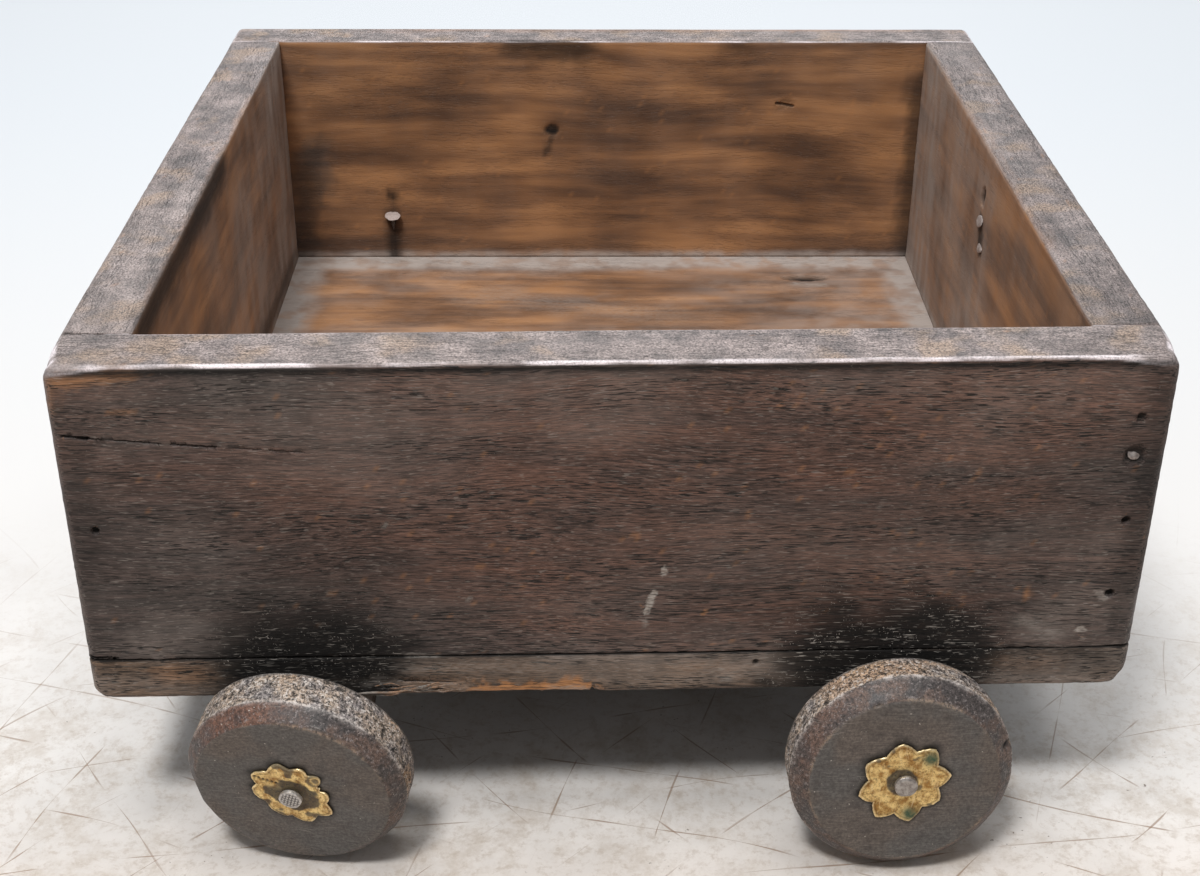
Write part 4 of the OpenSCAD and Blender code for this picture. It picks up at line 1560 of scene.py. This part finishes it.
def build_ends(material):
    left = Board((LEFT, NEAR_WALL, FLOOR_TOP), (LEFT_WALL, FAR_WALL, RIM), 1.8)
    left.round(X, LOW, Z, HIGH, 3.0).round(X, HIGH, Z, HIGH, 1.3).round(X, HIGH, Z, LOW, 0.03)
    build_board(
        "left_end_plank", left, LEFT_WALL_MARKS + RIM_MARKS, board_relief(Y, 121),
        wall_paint(X, 1, 221, 0.80), material, "left_end_board",
    )
    right = Board((RIGHT_WALL, NEAR_WALL, FLOOR_TOP), (RIGHT, FAR_WALL, RIM), 1.8)
    right.round(X, HIGH, Z, HIGH, 3.0).round(X, LOW, Z, HIGH, 1.6).round(X, LOW, Z, LOW, 0.03)
    build_board(
        "right_end_plank", right, RIGHT_WALL_MARKS + RIM_MARKS, board_relief(Y, 131),
        wall_paint(X, -1, 231, 0.92, 0.20), material, "right_end_board",
    )


def build_floor(material):
    board = Board((LEFT, NEAR_LOW[Y], LIFT), (RIGHT, FAR, FLOOR_TOP), 1.9)
    board.round(X, LOW, Z, LOW, 4.5).round(X, HIGH, Z, LOW, 6, 8)
    board.round(X, LOW, Y, LOW, 3.2).round(X, HIGH, Y, LOW, 3.6)
    board.round(X, LOW, Y, HIGH, 3.6).round(X, HIGH, Y, HIGH, 3.6)
    board.round(Y, LOW, Z, LOW, 1.4).round(Y, HIGH, Z, LOW, 1.4)
    board.round(Y, LOW, Z, HIGH, seam)
    build_board(
        "floor_plank", board, NEAR_MARKS + BED_MARKS, board_relief(X, 141),
        floor_paint, material, "floor_board",
    )


def build_beams(material):
    for side, seed in (("left", 151), ("right", 161)):
        node = side + "_axle_beam"
        low, high = node_box(node)
        beam = Board(low, high, 2.2, 0.9)
        beam.round(X, LOW, Z, LOW, 4.5).round(X, HIGH, Z, LOW, 4.5)
        build_board(
            side + "_sawn_beam", beam, [], board_relief(Y, seed, 1.4), plain_paint, material,
            node, straight,
        )


def build_wheels(wood_material, brass_material, steel_material):
    for corner in CORNERS:
        axle = Axle(corner)
        build_wheel(axle, wood_material)
        build_flower(axle, brass_material)
        build_axle_nail(axle, steel_material)


def build_nails(material):
    """Nail heads that show in the boards."""
    near, far, right = near_y(142.6) + 1.3, FAR_WALL - 2.2, RIGHT_WALL
    build_board_nail("near_face_nail", (142.8, near, LIFT + 78.5), (0.2, -1, 0.5), 2.2, 25, material, 301)
    build_board_nail("far_wall_nail", (-89.4, far, LIFT + 34.3), (0, -0.27, 1), 3.6, 8, material, 302, 0.9)
    for name, place, radius, seed, wide in (
        ("right_wall_nail_high", (right - 0.7, 8.7, LIFT + 82.6), 2.3, 303, 1.7),
        ("right_wall_nail_low", (right - 0.5, 5.4, LIFT + 73.8), 1.8, 304, 1.8),
    ):
        build_board_nail(name, place, (-1, 0, 0.3), radius, 12, material, seed, 0.6, wide)


# --------------------------------------------------- floor, light and camera

CAMERA_PLACE = (-9.37, -567.7, 368.4)
CAMERA_PITCH = 29.28
CAMERA_YAW = 0.704
CAMERA_ROLL = 0.266
CAMERA_LENS = 52.9


def add_camera():
    data = bpy.data.cameras.new("photo_camera")
    data.lens = CAMERA_LENS
    data.sensor_width = 36
    data.clip_start = 0.01
    camera = add_object("photo_camera", data)
    turn = Matrix.Rotation(math.radians(-CAMERA_YAW), 4, "Z")
    turn = turn @ Matrix.Rotation(math.radians(90 - CAMERA_PITCH), 4, "X")
    turn = turn @ Matrix.Rotation(math.radians(CAMERA_ROLL), 4, "Z")
    camera.matrix_world = Matrix.Translation(Vector(CAMERA_PLACE) * MM) @ turn
    bpy.context.scene.camera = camera


def add_area_light(name, place, target, size, power, colour=(1, 1, 1)):
    data = bpy.data.lights.new(name, "AREA")
    data.shape = "RECTANGLE"
    data.size, data.size_y = size
    data.energy = power
    data.color = colour
    light = add_object(name, data)
    light.location = place
    light.rotation_euler = (Vector(target) - Vector(place)).to_track_quat("-Z", "Y").to_euler()


def add_lights():
    middle = (0, 0, 0.08)
    add_area_light("key", (-0.36, -0.90, 1.72), middle, (0.35, 0.30), 24.5)
    add_area_light("back", (0.1, 1.9, 1.45), middle, (2.2, 1.0), 27, (0.94, 0.97, 1.0))
    add_area_light("overhead", (0.0, -0.15, 2.3), middle, (1.2, 1.0), 21)
    world = bpy.data.worlds.new("studio")
    bpy.context.scene.world = world
    world.use_nodes = True
    background = world.node_tree.nodes["Background"]
    background.inputs["Color"].default_value = (0.95, 0.97, 1.0, 1)
    background.inputs["Strength"].default_value = 0.30


FLOOR_REACH = 6.0                        # metres from the middle to each side of the floor
FLOOR_FRONT = (0.735, 0.695, 0.655)
FLOOR_BACK = (0.642, 0.668, 0.694)
FLOOR_NEAREST = (0.630, 0.530, 0.455)
FLOOR_SMUDGES = (0.44, 0.36, 0.28)
FLOOR_HAIRLINES = (0.24, 0.135, 0.070)
FLOOR_GRIME = (0.36, 0.27, 0.19)
FLOOR_FLECKS = (0.10, 0.055, 0.030)
# Sets of hairline scratches: their direction, the millimetres between them, and a shift.
HAIRLINES = ((0.3, 37, 1.3), (0.8, 29, 8.1), (1.4, 43, 15.7), (1.9, 26, 22.4), (2.5, 33, 29.6))


def add_floor():
    """A pale painted floor: smooth and bluer at the back, stained and scratched in front."""
    s = Shader("pale_floor")
    place = s.node("ShaderNodeSeparateXYZ")
    s.feed(place.inputs[0], s.object)
    back = s.ramp(place.outputs["Y"], -0.34, 0.60)
    front = s.ramp(place.outputs["Y"], 0.05, -0.16)
    nearest = s.ramp(place.outputs["Y"], -0.12, -0.27)
    colour = s.mix(back, FLOOR_FRONT, FLOOR_BACK)
    colour = s.mix(nearest, colour, FLOOR_NEAREST)
    cloud = s.ramp(s.noise(45, 4, roughness=0.6), 0.3, 0.7, 0.90, 1.06)
    colour = s.mix(front, colour, s.mix(1.0, colour, s.grey(cloud), "MULTIPLY"))
    smudges = s.ramp(s.noise(22, 6, shift=3.0, roughness=0.8), 0.44, 0.68, 0, 0.50)
    colour = s.mix(s.product(front, smudges), colour, FLOOR_SMUDGES)
    wandering = s.warped(120, 26, 2.0)
    for angle, spacing, shift in HAIRLINES:
        turned = s.turned(wandering, angle)
        across = s.node("ShaderNodeSeparateXYZ")
        s.feed(across.inputs[0], s.sizes(turned, spacing))
        distance = s.math("PINGPONG", s.math("ADD", across.outputs["X"], shift), 0.5)
        stretches = s.noise((7, 34, 34), 1, turned, shift, 0.6)
        width = s.ramp(s.noise(9, 0, shift=shift), 0.3, 0.7, 0.08, 0.34)
        near_line = s.math("LESS_THAN", s.math("MULTIPLY", distance, spacing), width)
        hairline = s.product(near_line, s.ramp(stretches, 0.48, 0.58), front)
        colour = s.mix(s.product(hairline, 0.66), colour, FLOOR_HAIRLINES)
    grime = s.ramp(s.noise(3.5, 5, s.warped(30, 12, 5.0), 31.0, 0.75), 0.48, 0.68, 0, 0.36)
    colour = s.mix(s.product(front, grime), colour, FLOOR_GRIME)
    fleck_places = s.ramp(s.noise(30, 2, shift=9.0), 0.5, 0.62)
    flecks = s.product(s.ramp(s.noise(1.6, 2, shift=6.0), 0.70, 0.76), fleck_places, front)
    colour = s.mix(s.product(flecks, 0.8), colour, FLOOR_FLECKS)
    s.finish(colour, 0.6)
    mesh = bpy.data.meshes.new("pale_floor")
    reach = FLOOR_REACH
    corners = [(-reach, -reach, 0), (reach, -reach, 0), (reach, reach, 0), (-reach, reach, 0)]
    mesh.from_pydata(corners, [], [(0, 1, 2, 3)])
    mesh.materials.append(s.material)
    add_object("pale_floor", mesh)


box_material = wood("box_wood", X, 1.0)
end_material = wood("box_wood_across", Y, 14.0)
floor_material = wood("floor_wood", X, 27.0, FLOOR_WOOD)
beam_material = wood("beam_wood", Y, 41.0, BEAM_WOOD)
steel = nail_steel()

build_sides(box_material)
build_ends(end_material)
build_floor(floor_material)
build_beams(beam_material)
build_wheels(wheel_wood(), brass(), steel)
build_nails(steel)
build_splinter(floor_material)
add_camera()
add_lights()
add_floor()
bpy.context.scene.view_settings.view_transform = "Standard"
